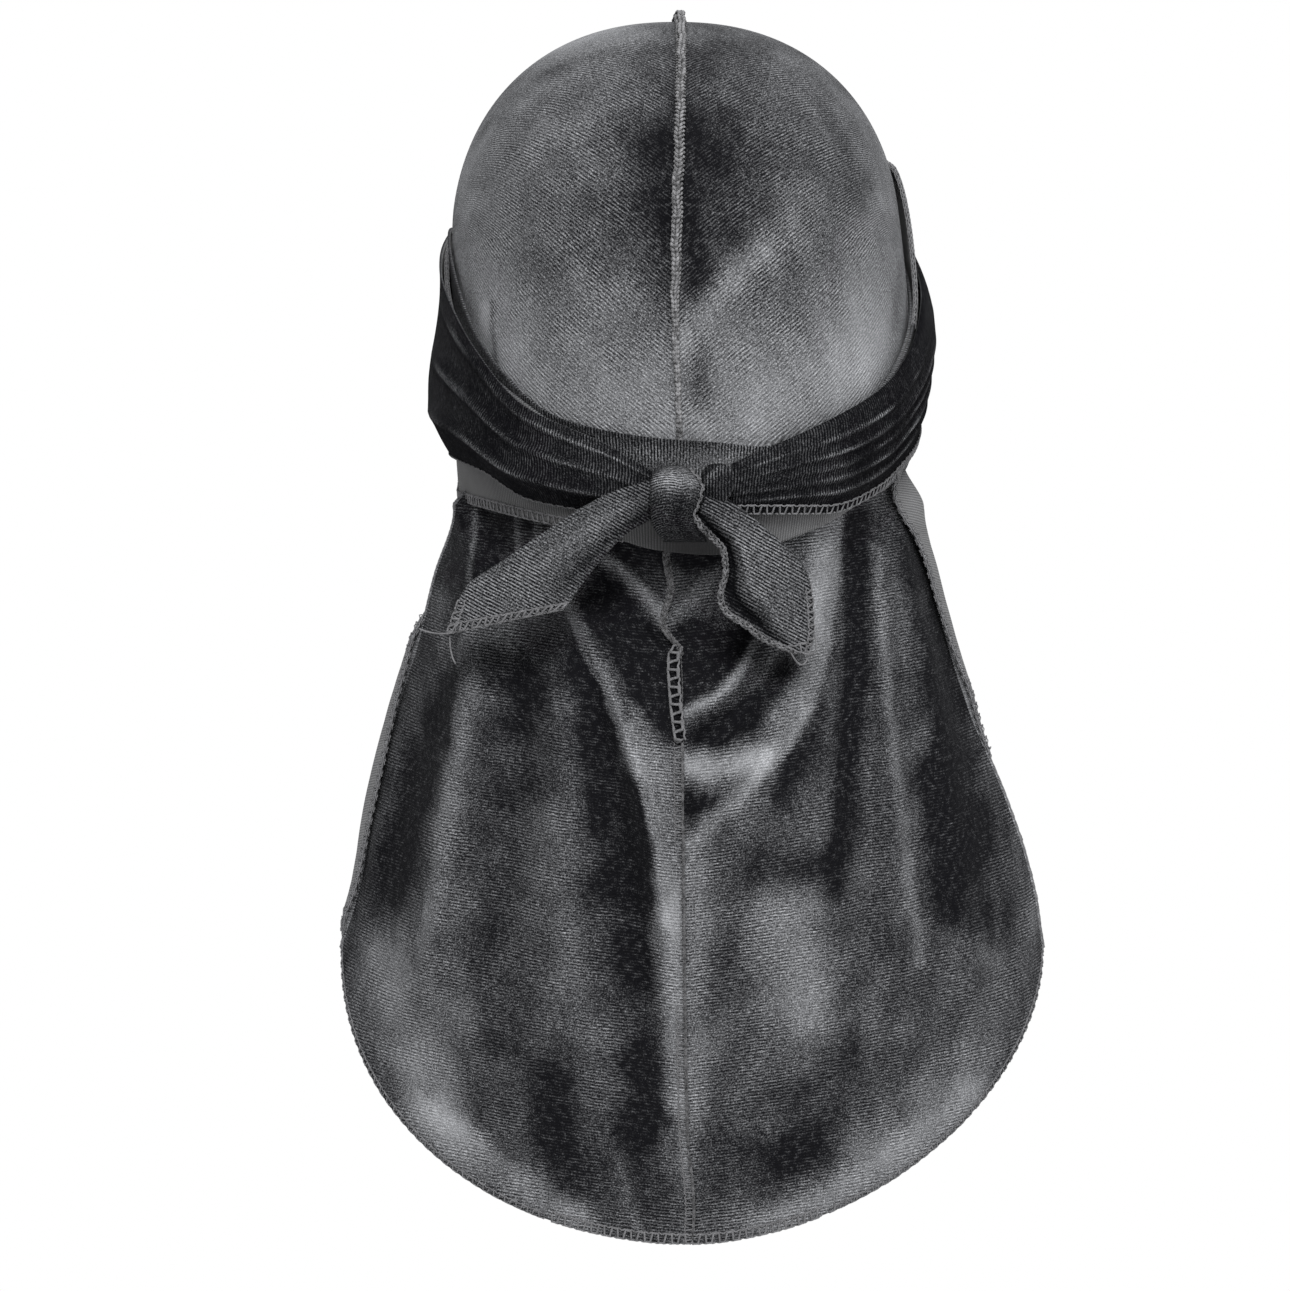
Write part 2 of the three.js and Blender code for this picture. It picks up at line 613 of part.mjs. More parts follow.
/** One tail, from the knot to its end hem. */
function tail(sideName) {
  const sections = TAIL_SECTIONS[sideName];
  const curve = (end) => new THREE.CatmullRomCurve3(
    sections.map((section) => new THREE.Vector3(...section[end])),
  );
  const [upper, lower] = [curve('upper'), curve('lower')];
  const bulges = sections.map((section, i) => ({ share: i / (sections.length - 1), bulge: section.bulge }));
  const bulge = columnOf(bulges, 'share', 'bulge');
  const face = (share, across) => {
    const point = upper.getPoint(share).lerp(lower.getPoint(share), across);
    point.y += bulge(share) * Math.sin(Math.PI * across);
    return point;
  };
  const shares = spread(0, 1, DETAIL.tailRows);
  const across = spread(0, 1, DETAIL.tailColumns);
  const wall = sideName === 'left' ? -STRAP_CLOTH : STRAP_CLOTH;
  return clothSolid(`tail_${sideName}`, face, shares, across, wall, darkVelvet());
}

// ---- Knot --------------------------------------------------------------------------------
/** The lump of tucked strap inside the knot. */
function knotCore() {
  const mesh = new THREE.Mesh(new THREE.IcosahedronGeometry(1, 2), darkVelvet());
  mesh.name = 'knot_core';
  mesh.position.set(...KNOT_CORE.centre);
  mesh.scale.set(...KNOT_CORE.radii);
  return mesh;
}

/** The turn of strap drawn over the lump, from above the knot to below it. */
function knotLoop() {
  const { x, halfWidth, top, bottom, topY, bottomY, rise, rounding, narrow, fullness, wall } = KNOT_LOOP;
  const face = (along, across) => {
    const aside = 2 * across - 1;
    const arch = Math.sin(Math.PI * along) ** fullness;
    const narrowing = mix(narrow, 1, arch);
    return new THREE.Vector3(
      x + halfWidth * aside * narrowing,
      mix(topY, bottomY, along) + rise * arch - rounding * aside ** 2,
      mix(top, bottom, along),
    );
  };
  const along = spread(0, 1, DETAIL.loopRows);
  const across = spread(0, 1, DETAIL.loopColumns);
  return clothSolid('knot_loop', face, along, across, wall, darkVelvet());
}

// ---- Seams -------------------------------------------------------------------------------
/** A seam allowance that stands up along the midline: `places` give foot, outward and height. */
function seamRidge(name, places, width) {
  const sections = places.map(({ foot, outward, height, lean }) => SEAM_SECTION.map(
    ([aside, up]) => foot.clone()
      .addScaledVector(outward, up * height)
      .add(new THREE.Vector3(aside * width + lean * up, 0, 0)),
  ));
  return barSolid(name, sections, seamThread());
}

/** The places of a seam ridge on the panels' rows, from one place on the seam to another. */
function seamPlaces(from, to, heightAt, leanAt) {
  const between = (station) => seamPlace(station) >= from && seamPlace(station) <= to;
  const stations = panelStations().filter(between);
  const face = panelFace('left');
  const middle = (station) => face(station, 0).sub(new THREE.Vector3(GAP / 2, 0, 0));
  const points = stations.map(middle);
  return points.map((point, i) => {
    const after = points[Math.min(i + 1, points.length - 1)];
    const before = points[Math.max(i - 1, 0)];
    const along = after.clone().sub(before);
    const outward = new THREE.Vector3(0, -along.z, along.y).normalize();
    const share = i / (points.length - 1);
    const foot = point.clone().addScaledVector(outward, SEAM_GAP);
    return { foot, outward, height: heightAt(share), lean: leanAt(share) };
  });
}

/** The raised seam over the crown, which flattens towards the straps. */
function crownSeam() {
  const { from, to, width, height, endHeight, flattens, lean } = CROWN_SEAM;
  const heightAt = (share) => mix(height, endHeight, smooth(share, flattens, 1));
  const leanAt = (share) => lean * Math.sin(2 * Math.PI * share);
  return seamRidge('crown_seam', seamPlaces(from, to, heightAt, leanAt), width);
}

/** The seam of the cape, from below the straps to the bottom hem. */
function capeSeam() {
  const { from, to, width, height } = CAPE_SEAM;
  return seamRidge('cape_seam', seamPlaces(from, to, () => height, () => 0), width);
}

// ---- Assembly ----------------------------------------------------------------------------
const durag = new THREE.Group();
durag.add(panel('left'), panel('right'));
durag.add(strap('left'), strap('right'));
durag.add(tail('left'), tail('right'));
durag.add(knotCore(), knotLoop());
durag.add(crownSeam(), capeSeam());

export default durag;
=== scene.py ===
"""A velvet durag in the form that it has on a head, tied behind with its two straps.

Two panels joined by a raised centre seam make the crown and the hanging cape. The straps start
at the temples, go round the head and end in a knot with two short tails. Sizes in the classes
are millimetres; the meshes are metres. The forehead faces -Y, the wearer's left is +X, and the
top of the head is the origin.
"""

from __future__ import annotations

import logging
import math

from dataclasses import dataclass, field
from enum import Enum

import bpy
import numpy as np
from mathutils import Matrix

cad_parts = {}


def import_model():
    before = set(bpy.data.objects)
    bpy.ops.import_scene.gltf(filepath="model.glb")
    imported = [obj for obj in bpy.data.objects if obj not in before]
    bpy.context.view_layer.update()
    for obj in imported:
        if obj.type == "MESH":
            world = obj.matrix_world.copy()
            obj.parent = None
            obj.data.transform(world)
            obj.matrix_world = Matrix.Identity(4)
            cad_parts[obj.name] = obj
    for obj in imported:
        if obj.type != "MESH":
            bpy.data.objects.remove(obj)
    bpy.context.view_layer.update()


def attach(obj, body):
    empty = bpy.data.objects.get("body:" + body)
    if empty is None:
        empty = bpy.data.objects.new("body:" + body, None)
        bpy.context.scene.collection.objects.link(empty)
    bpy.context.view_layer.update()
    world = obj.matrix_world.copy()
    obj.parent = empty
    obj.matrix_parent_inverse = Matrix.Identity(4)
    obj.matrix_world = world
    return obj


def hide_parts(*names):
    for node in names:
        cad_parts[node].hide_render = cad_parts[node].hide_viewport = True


log = logging.getLogger("durag")

MM = 0.001
BODY = "root"
CLOTH_UV = "Cloth"
# Mesh attribute: the pile's own lightness with painted highlights and painted shade mixed in.
PILE_AND_LIGHT = "Nap"


class Side(Enum):
    """The wearer's side; the value is the sign of x."""

    LEFT = 1
    RIGHT = -1


# ---- Curves and small sums ---------------------------------------------------------------
class Track:
    """A smooth curve through table rows that never overshoots them."""

    def __init__(self, rows: list[tuple[float, float]]) -> None:
        """Prepares the curve.

        Args:
            rows: Pairs of a place and the value there, in any order.
        """
        table = np.array(sorted(rows), float)
        self.x, self.y = table[:, 0], table[:, 1]
        self.steep = np.diff(self.y) / np.diff(self.x)
        before, after = self.steep[:-1], self.steep[1:]
        same = before * after > 0
        total = np.where(same, before + after, 1.0)
        inner = np.where(same, 2 * before * after / total, 0.0)
        self.slopes = np.concatenate([self.steep[:1], inner, self.steep[-1:]])

    def __call__(self, at: np.ndarray | float) -> np.ndarray:
        """Values of the curve.

        Args:
            at: The places asked for.

        Returns:
            One value for each place.
        """
        i = np.clip(np.searchsorted(self.x, at, side="right") - 1, 0, len(self.x) - 2)
        span = self.x[i + 1] - self.x[i]
        t = np.clip((at - self.x[i]) / span, 0, 1)
        line = self.y[i] + t * (self.y[i + 1] - self.y[i])
        pull = (self.slopes[i] - self.steep[i]) * (1 - t) - (self.slopes[i + 1] - self.steep[i]) * t
        return line + span * t * (1 - t) * pull


def smooth(value: np.ndarray | float, low: float, high: float) -> np.ndarray:
    """A smooth step from 0 at low to 1 at high."""
    t = np.clip((np.asarray(value, float) - low) / (high - low), 0, 1)
    return t * t * (3 - 2 * t)


def mix(a: np.ndarray | float, b: np.ndarray | float, share: np.ndarray | float) -> np.ndarray:
    """The value a share of the way from a to b."""
    return a + (b - a) * share


def unit(vectors: np.ndarray) -> np.ndarray:
    """The vectors at length 1."""
    return vectors / np.maximum(np.linalg.norm(vectors, axis=-1, keepdims=True), 1e-9)


def along(points: np.ndarray) -> np.ndarray:
    """Distance from the first point to each point, along the first axis."""
    steps = np.linalg.norm(np.diff(points, axis=0), axis=-1)
    return np.concatenate([np.zeros((1, *steps.shape[1:])), np.cumsum(steps, axis=0)])


def bezier(fold_line: tuple, steps: int = 20) -> np.ndarray:
    """Points on the curve that three points bend.

    Args:
        fold_line: Start, bending point and end.
        steps: Number of points.

    Returns:
        The points.
    """
    a, b, c = (np.array(p, float) for p in fold_line)
    t = np.linspace(0, 1, steps + 1)[:, None]
    return a * (1 - t) ** 2 + 2 * b * t * (1 - t) + c * t**2


class Ripple:
    """Soft seeded unevenness over a surface, made of a few crossing waves."""

    def __init__(self, seed: int, length: float, waves: int = 9) -> None:
        """Chooses the waves.

        Args:
            seed: Seed of the random directions.
            length: Mean wave length.
            waves: How many waves are added.
        """
        draw = np.random.default_rng(seed)
        angle = draw.uniform(0, 2 * math.pi, waves)
        scale = 2 * math.pi / (length * draw.uniform(0.6, 1.7, waves))
        self.directions = np.stack([np.cos(angle), np.sin(angle)]) * scale
        self.phases = draw.uniform(0, 2 * math.pi, waves)

    def __call__(self, places: np.ndarray) -> np.ndarray:
        """Values from about -1 to 1 at places in two coordinates."""
        waves = np.sin(places @ self.directions + self.phases)
        return waves.sum(-1) / math.sqrt(waves.shape[-1])


# ---- Shader kit --------------------------------------------------------------------------
class Value:
    """One number socket of a material, with the arithmetic of numbers."""

    def __init__(self, kit: Shader, socket: bpy.types.NodeSocket) -> None:
        """Keeps the socket.

        Args:
            kit: The material's shader kit.
            socket: The output that gives the number.
        """
        self.kit, self.socket = kit, socket

    def _sum(self, operation: str, a: Value | float, b: Value | float) -> Value:
        """Adds a Math node."""
        return self.kit.value("ShaderNodeMath", {"operation": operation}, {0: a, 1: b})

    def __add__(self, other: Value | float) -> Value:
        """Sum."""
        return self._sum("ADD", self, other)

    __radd__ = __add__

    def __sub__(self, other: Value | float) -> Value:
        """Difference."""
        return self._sum("SUBTRACT", self, other)

    def __rsub__(self, other: Value | float) -> Value:
        """Difference, from a plain number."""
        return self._sum("SUBTRACT", other, self)

    def __mul__(self, other: Value | float) -> Value:
        """Product."""
        return self._sum("MULTIPLY", self, other)

    __rmul__ = __mul__

    def __truediv__(self, other: Value | float) -> Value:
        """Quotient."""
        return self._sum("DIVIDE", self, other)

    def __pow__(self, other: Value | float) -> Value:
        """Power."""
        return self._sum("POWER", self, other)

    def sine(self) -> Value:
        """Sine of an angle in radians."""
        return self._sum("SINE", self, 0.0)

    def at_least(self, other: Value | float) -> Value:
        """The larger of this number and another."""
        return self._sum("MAXIMUM", self, other)

    def clamped(self) -> Value:
        """The number kept between 0 and 1."""
        return self.kit.value("ShaderNodeClamp", {}, {"Value": self})


class Shader:
    """A material's node tree, with one way of adding nodes."""

    def __init__(self, name: str) -> None:
        """Makes an empty node material.

        Args:
            name: Name of the material.
        """
        self.material = bpy.data.materials.new(name)
        self.material.use_nodes = True
        self.tree = self.material.node_tree
        self.surface = self.tree.nodes["Principled BSDF"]

    @staticmethod
    def pick(sockets: bpy.types.NodeInputs, key: int | str) -> bpy.types.NodeSocket:
        """The socket with that number, identifier or name.

        Args:
            sockets: A node's inputs or outputs.
            key: The number, identifier or name.

        Returns:
            The socket.
        """
        if isinstance(key, int):
            return sockets[key]
        return next(s for s in sockets if key in (s.identifier, s.name))

    def node(self, kind: str, settings: dict, inputs: dict) -> bpy.types.Node:
        """Adds a node.

        Args:
            kind: The node's type.
            settings: Its properties, set first.
            inputs: Values or links of its sockets.

        Returns:
            The node.
        """
        node = self.tree.nodes.new(kind)
        for name, value in settings.items():
            setattr(node, name, value)
        for key, value in inputs.items():
            self.feed(self.pick(node.inputs, key), value)
        return node

    def feed(self, socket: bpy.types.NodeSocket, value: object) -> None:
        """Links or sets one input socket.

        Args:
            socket: The input.
            value: A number, a colour, or a socket or Value to link.
        """
        source = value.socket if isinstance(value, Value) else value
        if isinstance(source, bpy.types.NodeSocket):
            self.tree.links.new(source, socket)
        else:
            socket.default_value = source

    def value(self, kind: str, settings: dict, inputs: dict, output: int | str = 0) -> Value:
        """Adds a node and gives one of its outputs as a number."""
        return Value(self, self.pick(self.node(kind, settings, inputs).outputs, output))

    def cloth_place(self) -> tuple[Value, Value]:
        """Place on the cloth in metres: along the wales and across them.

        Returns:
            The two numbers.
        """
        uv = self.node("ShaderNodeUVMap", {"uv_map": CLOTH_UV}, {})
        parts = self.node("ShaderNodeSeparateXYZ", {}, {0: uv.outputs[0]})
        return Value(self, parts.outputs[0]), Value(self, parts.outputs[1])

    def noise(self, u: Value, v: Value, scale: float, detail: float = 2.0) -> Value:
        """Noise from 0 to 1 over a place given as two numbers.

        Args:
            u: First number of the place.
            v: Second number of the place.
            scale: Spots in a metre.
            detail: Octaves.

        Returns:
            The noise.
        """
        place = self.node("ShaderNodeCombineXYZ", {}, {0: u, 1: v})
        inputs = {"Vector": place.outputs[0], "Scale": scale, "Detail": detail}
        return self.value("ShaderNodeTexNoise", {"noise_dimensions": "2D"}, inputs)

    def blend(self, share: Value, a: tuple, b: tuple) -> bpy.types.NodeSocket:
        """A colour between two colours.

        Args:
            share: How far from the first colour to the second.
            a: First colour.
            b: Second colour.

        Returns:
            The colour socket.
        """
        inputs = {"Factor_Float": share, "A_Color": (*a, 1.0), "B_Color": (*b, 1.0)}
        node = self.node("ShaderNodeMix", {"data_type": "RGBA"}, inputs)
        return self.pick(node.outputs, "Result_Color")

    def dress(self, constants: dict, colour: object, roughness: object, height: Value, depth: float) -> None:
        """Sets the surface.

        Args:
            constants: Numbers on the surface's own sockets.
            colour: Base colour.
            roughness: Roughness.
            height: Relief from 0 to 1.
            depth: What a height of 1 is, in metres.
        """
        for name, value in constants.items():
            self.surface.inputs[name].default_value = value
        self.feed(self.surface.inputs["Base Color"], colour)
        self.feed(self.surface.inputs["Roughness"], roughness)
        bump = self.node("ShaderNodeBump", {}, {"Strength": 1.0, "Distance": depth, "Height": height})
        self.feed(self.surface.inputs["Normal"], bump.outputs[0])


# ---- Finishes ----------------------------------------------------------------------------
@dataclass(frozen=True)
class Velvet:
    """Crushed knitted velvet: short pile in fine wales that lies differently from patch to patch, coloured
    also by painted highlights and shade from the mesh attribute.
    """

    name: str
    slot: str
    deep: tuple[float, float, float] = (0.0014, 0.0014, 0.0018)
    bright: tuple[float, float, float] = (0.168, 0.171, 0.178)
    pitch: float = 1.12 * MM
    wale_share: float = 0.9
    dash_length: float = 1.9 * MM
    dash_share: float = 1.35
    fleck_share: float = 2.4
    crush: float = 0.22
    ruffle: float = 0.3
    gloss: float = 0.02
    sheen: float = 0.028

    def material(self) -> bpy.types.Material:
        """Builds the node material.

        Returns:
            The material.
        """
        kit = Shader(self.name)
        u, v = kit.cloth_place()
        # The attribute mixes the pile's own lightness with painted highlights and painted shade; lying, pile
        # and light carry both into the colour.
        nap = kit.value("ShaderNodeAttribute", {"attribute_name": PILE_AND_LIGHT}, {}, "Fac")
        wander = kit.noise(u, v, 1 / (9 * MM))
        phase = v * (2 * math.pi / self.pitch) + wander * 4.0
        wale = phase.sine() * 0.5 + 0.5
        dash = kit.noise(u / self.dash_length, v / (0.45 * MM), 1.0, 1.0)
        fleck = kit.noise(u, v, 1 / (0.5 * MM), 1.0)
        crushed = kit.noise(u + wander * (6 * MM), v * 0.55, 1 / (10 * MM), 3.0)
        tufts = kit.noise(u, v, 1 / (2.4 * MM), 3.0)
        combed = (kit.noise(u, v, 1 / (15 * MM), 1.0) * 3.2 - 1.0).clamped() * 0.75 + 0.25
        streak = ((dash - 0.36) * 2.6).clamped()
        spark = ((fleck - 0.6) * 5.0).clamped()
        thread = wale * 0.6 + (dash - 0.5) * 1.6
        lying = nap + (crushed - 0.5) * self.crush + (tufts - 0.5) * self.ruffle
        pile = lying.at_least((tufts - 0.45) * self.ruffle * 1.4)
        lively = (pile.clamped() + 0.06) * (1.15 - pile).at_least(0.3)
        light = (
            pile * 0.9
            + lively * (wale - 0.5) * combed * self.wale_share
            + lively * (streak * (wale * combed * 0.6 + 0.4) - 0.27) * self.dash_share
            + lively * (fleck - 0.52) * self.fleck_share
            + lively * spark
        )
        share = (light * 0.68).clamped() ** 1.35
        colour = kit.blend(share, self.deep, self.bright)
        rough = fleck * 0.12 + 0.8
        constants = {
            "Sheen Weight": self.sheen,
            "Sheen Roughness": 0.32,
            "Sheen Tint": (0.82, 0.83, 0.86, 1.0),
            "Specular IOR Level": self.gloss,
        }
        kit.dress(constants, colour, rough, thread * 0.7 + fleck * 0.5, 0.22 * MM)
        return kit.material


@dataclass(frozen=True)
class WrongSide:
    """The plain knitted back of the velvet: matte grey with fine ribs."""

    name: str
    slot: str
    dark: tuple[float, float, float] = (0.012, 0.012, 0.0125)
    light: tuple[float, float, float] = (0.066, 0.0665, 0.068)
    pitch: float = 1.0 * MM

    def material(self) -> bpy.types.Material:
        """Builds the node material.

        Returns:
            The material.
        """
        kit = Shader(self.name)
        u, v = kit.cloth_place()
        slow = kit.noise(u, v, 1 / (14 * MM))
        rib = (v * (2 * math.pi / self.pitch) + slow * 3.0).sine() * 0.5 + 0.5
        loops = (u * (2 * math.pi / (0.8 * MM))).sine() * 0.5 + 0.5
        fuzz = kit.noise(u, v, 1 / (0.9 * MM), 3.0)
        relief = rib * 0.6 + loops * rib * 0.25 + fuzz * 0.3
        shade = kit.value("ShaderNodeAttribute", {"attribute_name": PILE_AND_LIGHT}, {}, "Fac")
        share = (relief * 0.75 + slow * 0.3) * (shade * 1.6 + 0.2) + shade * 0.5 - 0.25
        colour = kit.blend(share.clamped(), self.dark, self.light)
        constants = {"Sheen Weight": 0.03, "Sheen Roughness": 0.5, "Specular IOR Level": 0.1}
        kit.dress(constants, colour, fuzz * 0.1 + 0.85, relief, 0.12 * MM)
        return kit.material


@dataclass(frozen=True)
class Thread:
    """Fluffy overlock thread in mid grey."""

    name: str
    slot: str
    dark: tuple[float, float, float] = (0.017, 0.017, 0.018)
    light: tuple[float, float, float] = (0.07, 0.07, 0.073)
    mottle: float = 1.2

    def material(self) -> bpy.types.Material:
        """Builds the node material.

        Returns:
            The material.
        """
        kit = Shader(self.name)
        u, v = kit.cloth_place()
        ply = ((u / 0.55 + v / 1.6) * (2 * math.pi / MM)).sine() * 0.5 + 0.5
        fuzz = kit.noise(u, v, 1 / (0.5 * MM), 3.0)
        place = kit.node("ShaderNodeTexCoord", {}, {})
        inputs = {"Vector": kit.pick(place.outputs, "Object"), "Scale": 1 / (1.5 * MM), "Detail": 2.0}
        fluff = kit.value("ShaderNodeTexNoise", {}, inputs)
        share = ply * 0.3 + fuzz * 0.3 + (fluff - 0.5) * self.mottle + 0.22
        colour = kit.blend(share.clamped(), self.dark, self.light)
        constants = {"Sheen Weight": 0.05, "Sheen Roughness": 0.5, "Specular IOR Level": 0.1}
        kit.dress(constants, colour, fuzz * 0.1 + 0.8, ply + fuzz * 0.5, 0.06 * MM)
        return kit.material


@dataclass
class Wardrobe:
    """Every finish of the durag, made once."""

    velvet: bpy.types.Material = field(init=False)
    strap_velvet: bpy.types.Material = field(init=False)
    wrong: bpy.types.Material = field(init=False)
    thread: bpy.types.Material = field(init=False)
    ridge_thread: bpy.types.Material = field(init=False)
    seam_chain: bpy.types.Material = field(init=False)
    cord_thread: bpy.types.Material = field(init=False)

    def __post_init__(self) -> None:
        """Makes the materials."""
        self.velvet = Velvet("velvet", "velvet").material()
        self.strap_velvet = Velvet(
            "strap_velvet", "strap_velvet", pitch=1.0 * MM, crush=0.08, ruffle=0.12, sheen=0.01,
            wale_share=1.7, dash_share=1.5, gloss=0.0, deep=(0.0015, 0.0015, 0.0018)
        ).material()
        self.wrong = WrongSide("velvet_wrong_side", "velvet").material()
        self.thread = Thread("overlock_thread", "seam_thread").material()
        self.ridge_thread = Thread(
            "seam_ridge_thread", "seam_thread", (0.01, 0.01, 0.0105), (0.087, 0.087, 0.09), 3.0
        ).material()
        self.cord_thread = Thread(
            "cord_thread", "seam_thread", (0.006, 0.006, 0.0065), (0.06, 0.06, 0.0625), 2.6
        ).material()
        self.seam_chain = Thread(
            "cape_seam_thread", "seam_thread", (0.004, 0.004, 0.0045), (0.045, 0.045, 0.047), 2.6
        ).material()


# ---- Meshes ------------------------------------------------------------------------------
@dataclass
class Surface:
    """Points, faces and what is painted on them, ready to become a Blender mesh."""

    points: np.ndarray
    faces: np.ndarray
    cloth: np.ndarray
    nap: np.ndarray
    facing: np.ndarray

    def outward(self) -> Surface:
        """The same surface with its faces turned outwards.

        Returns:
            The surface itself.
        """
        corner = self.points[self.faces]
        cross = np.cross(corner[:, 1] - corner[:, 0], corner[:, 2] - corner[:, 0])
        cross += np.cross(corner[:, 2] - corner[:, 0], corner[:, 3] - corner[:, 0])
        volume = (cross * corner.mean(1)).sum()
        if volume < 0:
            self.faces = self.faces[:, ::-1]
        return self

    def place(self, name: str, materials: list[bpy.types.Material], nodes: list[str]) -> bpy.types.Object:
        """Makes the Blender object.

        Args:
            name: Name of the piece.
            materials: Its materials, in the order of its facings.
            nodes: The CAD nodes that it stands for.

        Returns:
            The object, riding on the body.
        """
        mesh = bpy.data.meshes.new(name)
        count, sides = self.faces.shape
        mesh.vertices.add(len(self.points))
        mesh.vertices.foreach_set("co", (self.points * MM).ravel())
        mesh.loops.add(count * sides)
        mesh.loops.foreach_set("vertex_index", self.faces.ravel())
        mesh.polygons.add(count)
        mesh.polygons.foreach_set("loop_start", np.arange(0, count * sides, sides))
        mesh.polygons.foreach_set("material_index", self.facing.astype(np.int32))
        mesh.update(calc_edges=True)
        mesh.validate()
        mesh.polygons.foreach_set("use_smooth", np.ones(len(mesh.polygons), bool))
        uv = mesh.uv_layers.new(name=CLOTH_UV)
        uv.data.foreach_set("uv", (self.cloth * MM)[self.faces.ravel()].ravel())
        attribute = mesh.attributes.new(PILE_AND_LIGHT, "FLOAT", "POINT")
        attribute.data.foreach_set("value", self.nap.astype(np.float32))
        for material in materials:
            mesh.materials.append(material)
        piece = bpy.data.objects.new(name, mesh)
        bpy.context.scene.collection.objects.link(piece)
        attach(piece, BODY)
        if nodes:
            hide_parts(*nodes)
        corner = self.points[self.faces]
        cross = np.cross(corner[:, 2] - corner[:, 0], corner[:, 3] - corner[:, 1])
        area = np.linalg.norm(cross, axis=1).sum() / 2 * MM * MM
        log.info("%s: %d faces, surface %.5f m2", name, count, area)
        return piece


def joined(parts: list[Surface]) -> Surface:
    """Several surfaces as one.

    Args:
        parts: The surfaces.

    Returns:
        The one surface.
    """
    starts = np.cumsum([0] + [len(p.points) for p in parts[:-1]])
    return Surface(
        np.concatenate([p.points for p in parts]),
        np.concatenate([p.faces + start for p, start in zip(parts, starts)]),
        np.concatenate([p.cloth for p in parts]),
        np.concatenate([p.nap for p in parts]),
        np.concatenate([p.facing for p in parts]),
    )


@dataclass
class Edge:
    """One edge of a cloth: its points, the direction off the cloth, and the face's direction."""

    points: np.ndarray
    off: np.ndarray
    out: np.ndarray

    def part(self, keep: np.ndarray) -> Edge:
        """The points that a mask keeps."""
        return Edge(self.points[keep], self.off[keep], self.out[keep])

    def at(self, spacing: float) -> Edge:
        """The same edge with evenly spaced points.

        Args:
            spacing: Distance between points.

        Returns:
            The edge.
        """
        length = along(self.points)
        count = max(4, int(round(length[-1] / spacing)))
        places = np.linspace(0, length[-1], count + 1)

        def sample(values: np.ndarray) -> np.ndarray:
            """Values at the new places."""
            return np.stack([np.interp(places, length, values[:, k]) for k in range(3)], axis=1)

        return Edge(sample(self.points), unit(sample(self.off)), unit(sample(self.out)))


@dataclass
class Cloth:
    """A grid of points on the outside of a piece of cloth, and the cloth's wall behind it."""

    points: np.ndarray
    cloth: np.ndarray
    nap: np.ndarray
    wall: float
    wrong_out: np.ndarray | None = None

    def normals(self) -> np.ndarray:
        """Direction behind the outside at each point, with the wall's sign.

        Returns:
            Unit vectors.
        """
        down = np.gradient(self.points, axis=0)
        across = np.gradient(self.points, axis=1)
        return unit(np.cross(down, across)) * np.sign(self.wall)

    def solid(self, trim: object = None) -> Surface:
        """The closed cloth.

        Args:
            trim: A function that keeps the inner points in their place, or None.

        Returns:
            The surface, velvet outside and wrong side inside.
        """
        rows, columns = self.points.shape[:2]
        inner = self.points + self.normals() * abs(self.wall)
        if trim is not None:
            inner = trim(inner)
        index = np.arange(rows * columns).reshape(rows, columns)
        back = index + rows * columns
        face = np.stack([index[:-1, :-1], index[1:, :-1], index[1:, 1:], index[:-1, 1:]], -1)
        outer_faces = face.reshape(-1, 4)
        inner_faces = (face + rows * columns)[..., ::-1].reshape(-1, 4)
        rim = np.concatenate([index[0, :-1], index[:-1, -1], index[-1, :0:-1], index[:0:-1, 0]])
        rim_back = np.concatenate([back[0, :-1], back[:-1, -1], back[-1, :0:-1], back[:0:-1, 0]])
        rim_faces = np.stack([rim, np.roll(rim, -1), np.roll(rim_back, -1), rim_back], -1)
        wrong = np.zeros(len(outer_faces), bool)
        if self.wrong_out is not None:
            wrong = self.wrong_out.reshape(-1)
        facing = np.concatenate([wrong, ~wrong, np.zeros(len(rim_faces), bool)])
        return Surface(
            np.concatenate([self.points.reshape(-1, 3), inner.reshape(-1, 3)]),
            np.concatenate([outer_faces, inner_faces, rim_faces]),
            np.tile(self.cloth.reshape(-1, 2), (2, 1)),
            np.concatenate([self.nap.reshape(-1), np.full(rows * columns, 0.5)]),
            facing,
        ).outward()

    def edge(self, which: str) -> Edge:
        """One edge of the grid.

        Args:
            which: top, bottom, first or last: the first or last row or column.

        Returns:
            The edge.
        """
        picks = {
            "top": (np.s_[0, :], np.s_[1, :]),
            "bottom": (np.s_[-1, :], np.s_[-2, :]),
            "first": (np.s_[:, 0], np.s_[:, 1]),
            "last": (np.s_[:, -1], np.s_[:, -2]),
        }
        outer, inside = picks[which]
        off = unit(self.points[outer] - self.points[inside])
        return Edge(self.points[outer].copy(), off, -self.normals()[outer])


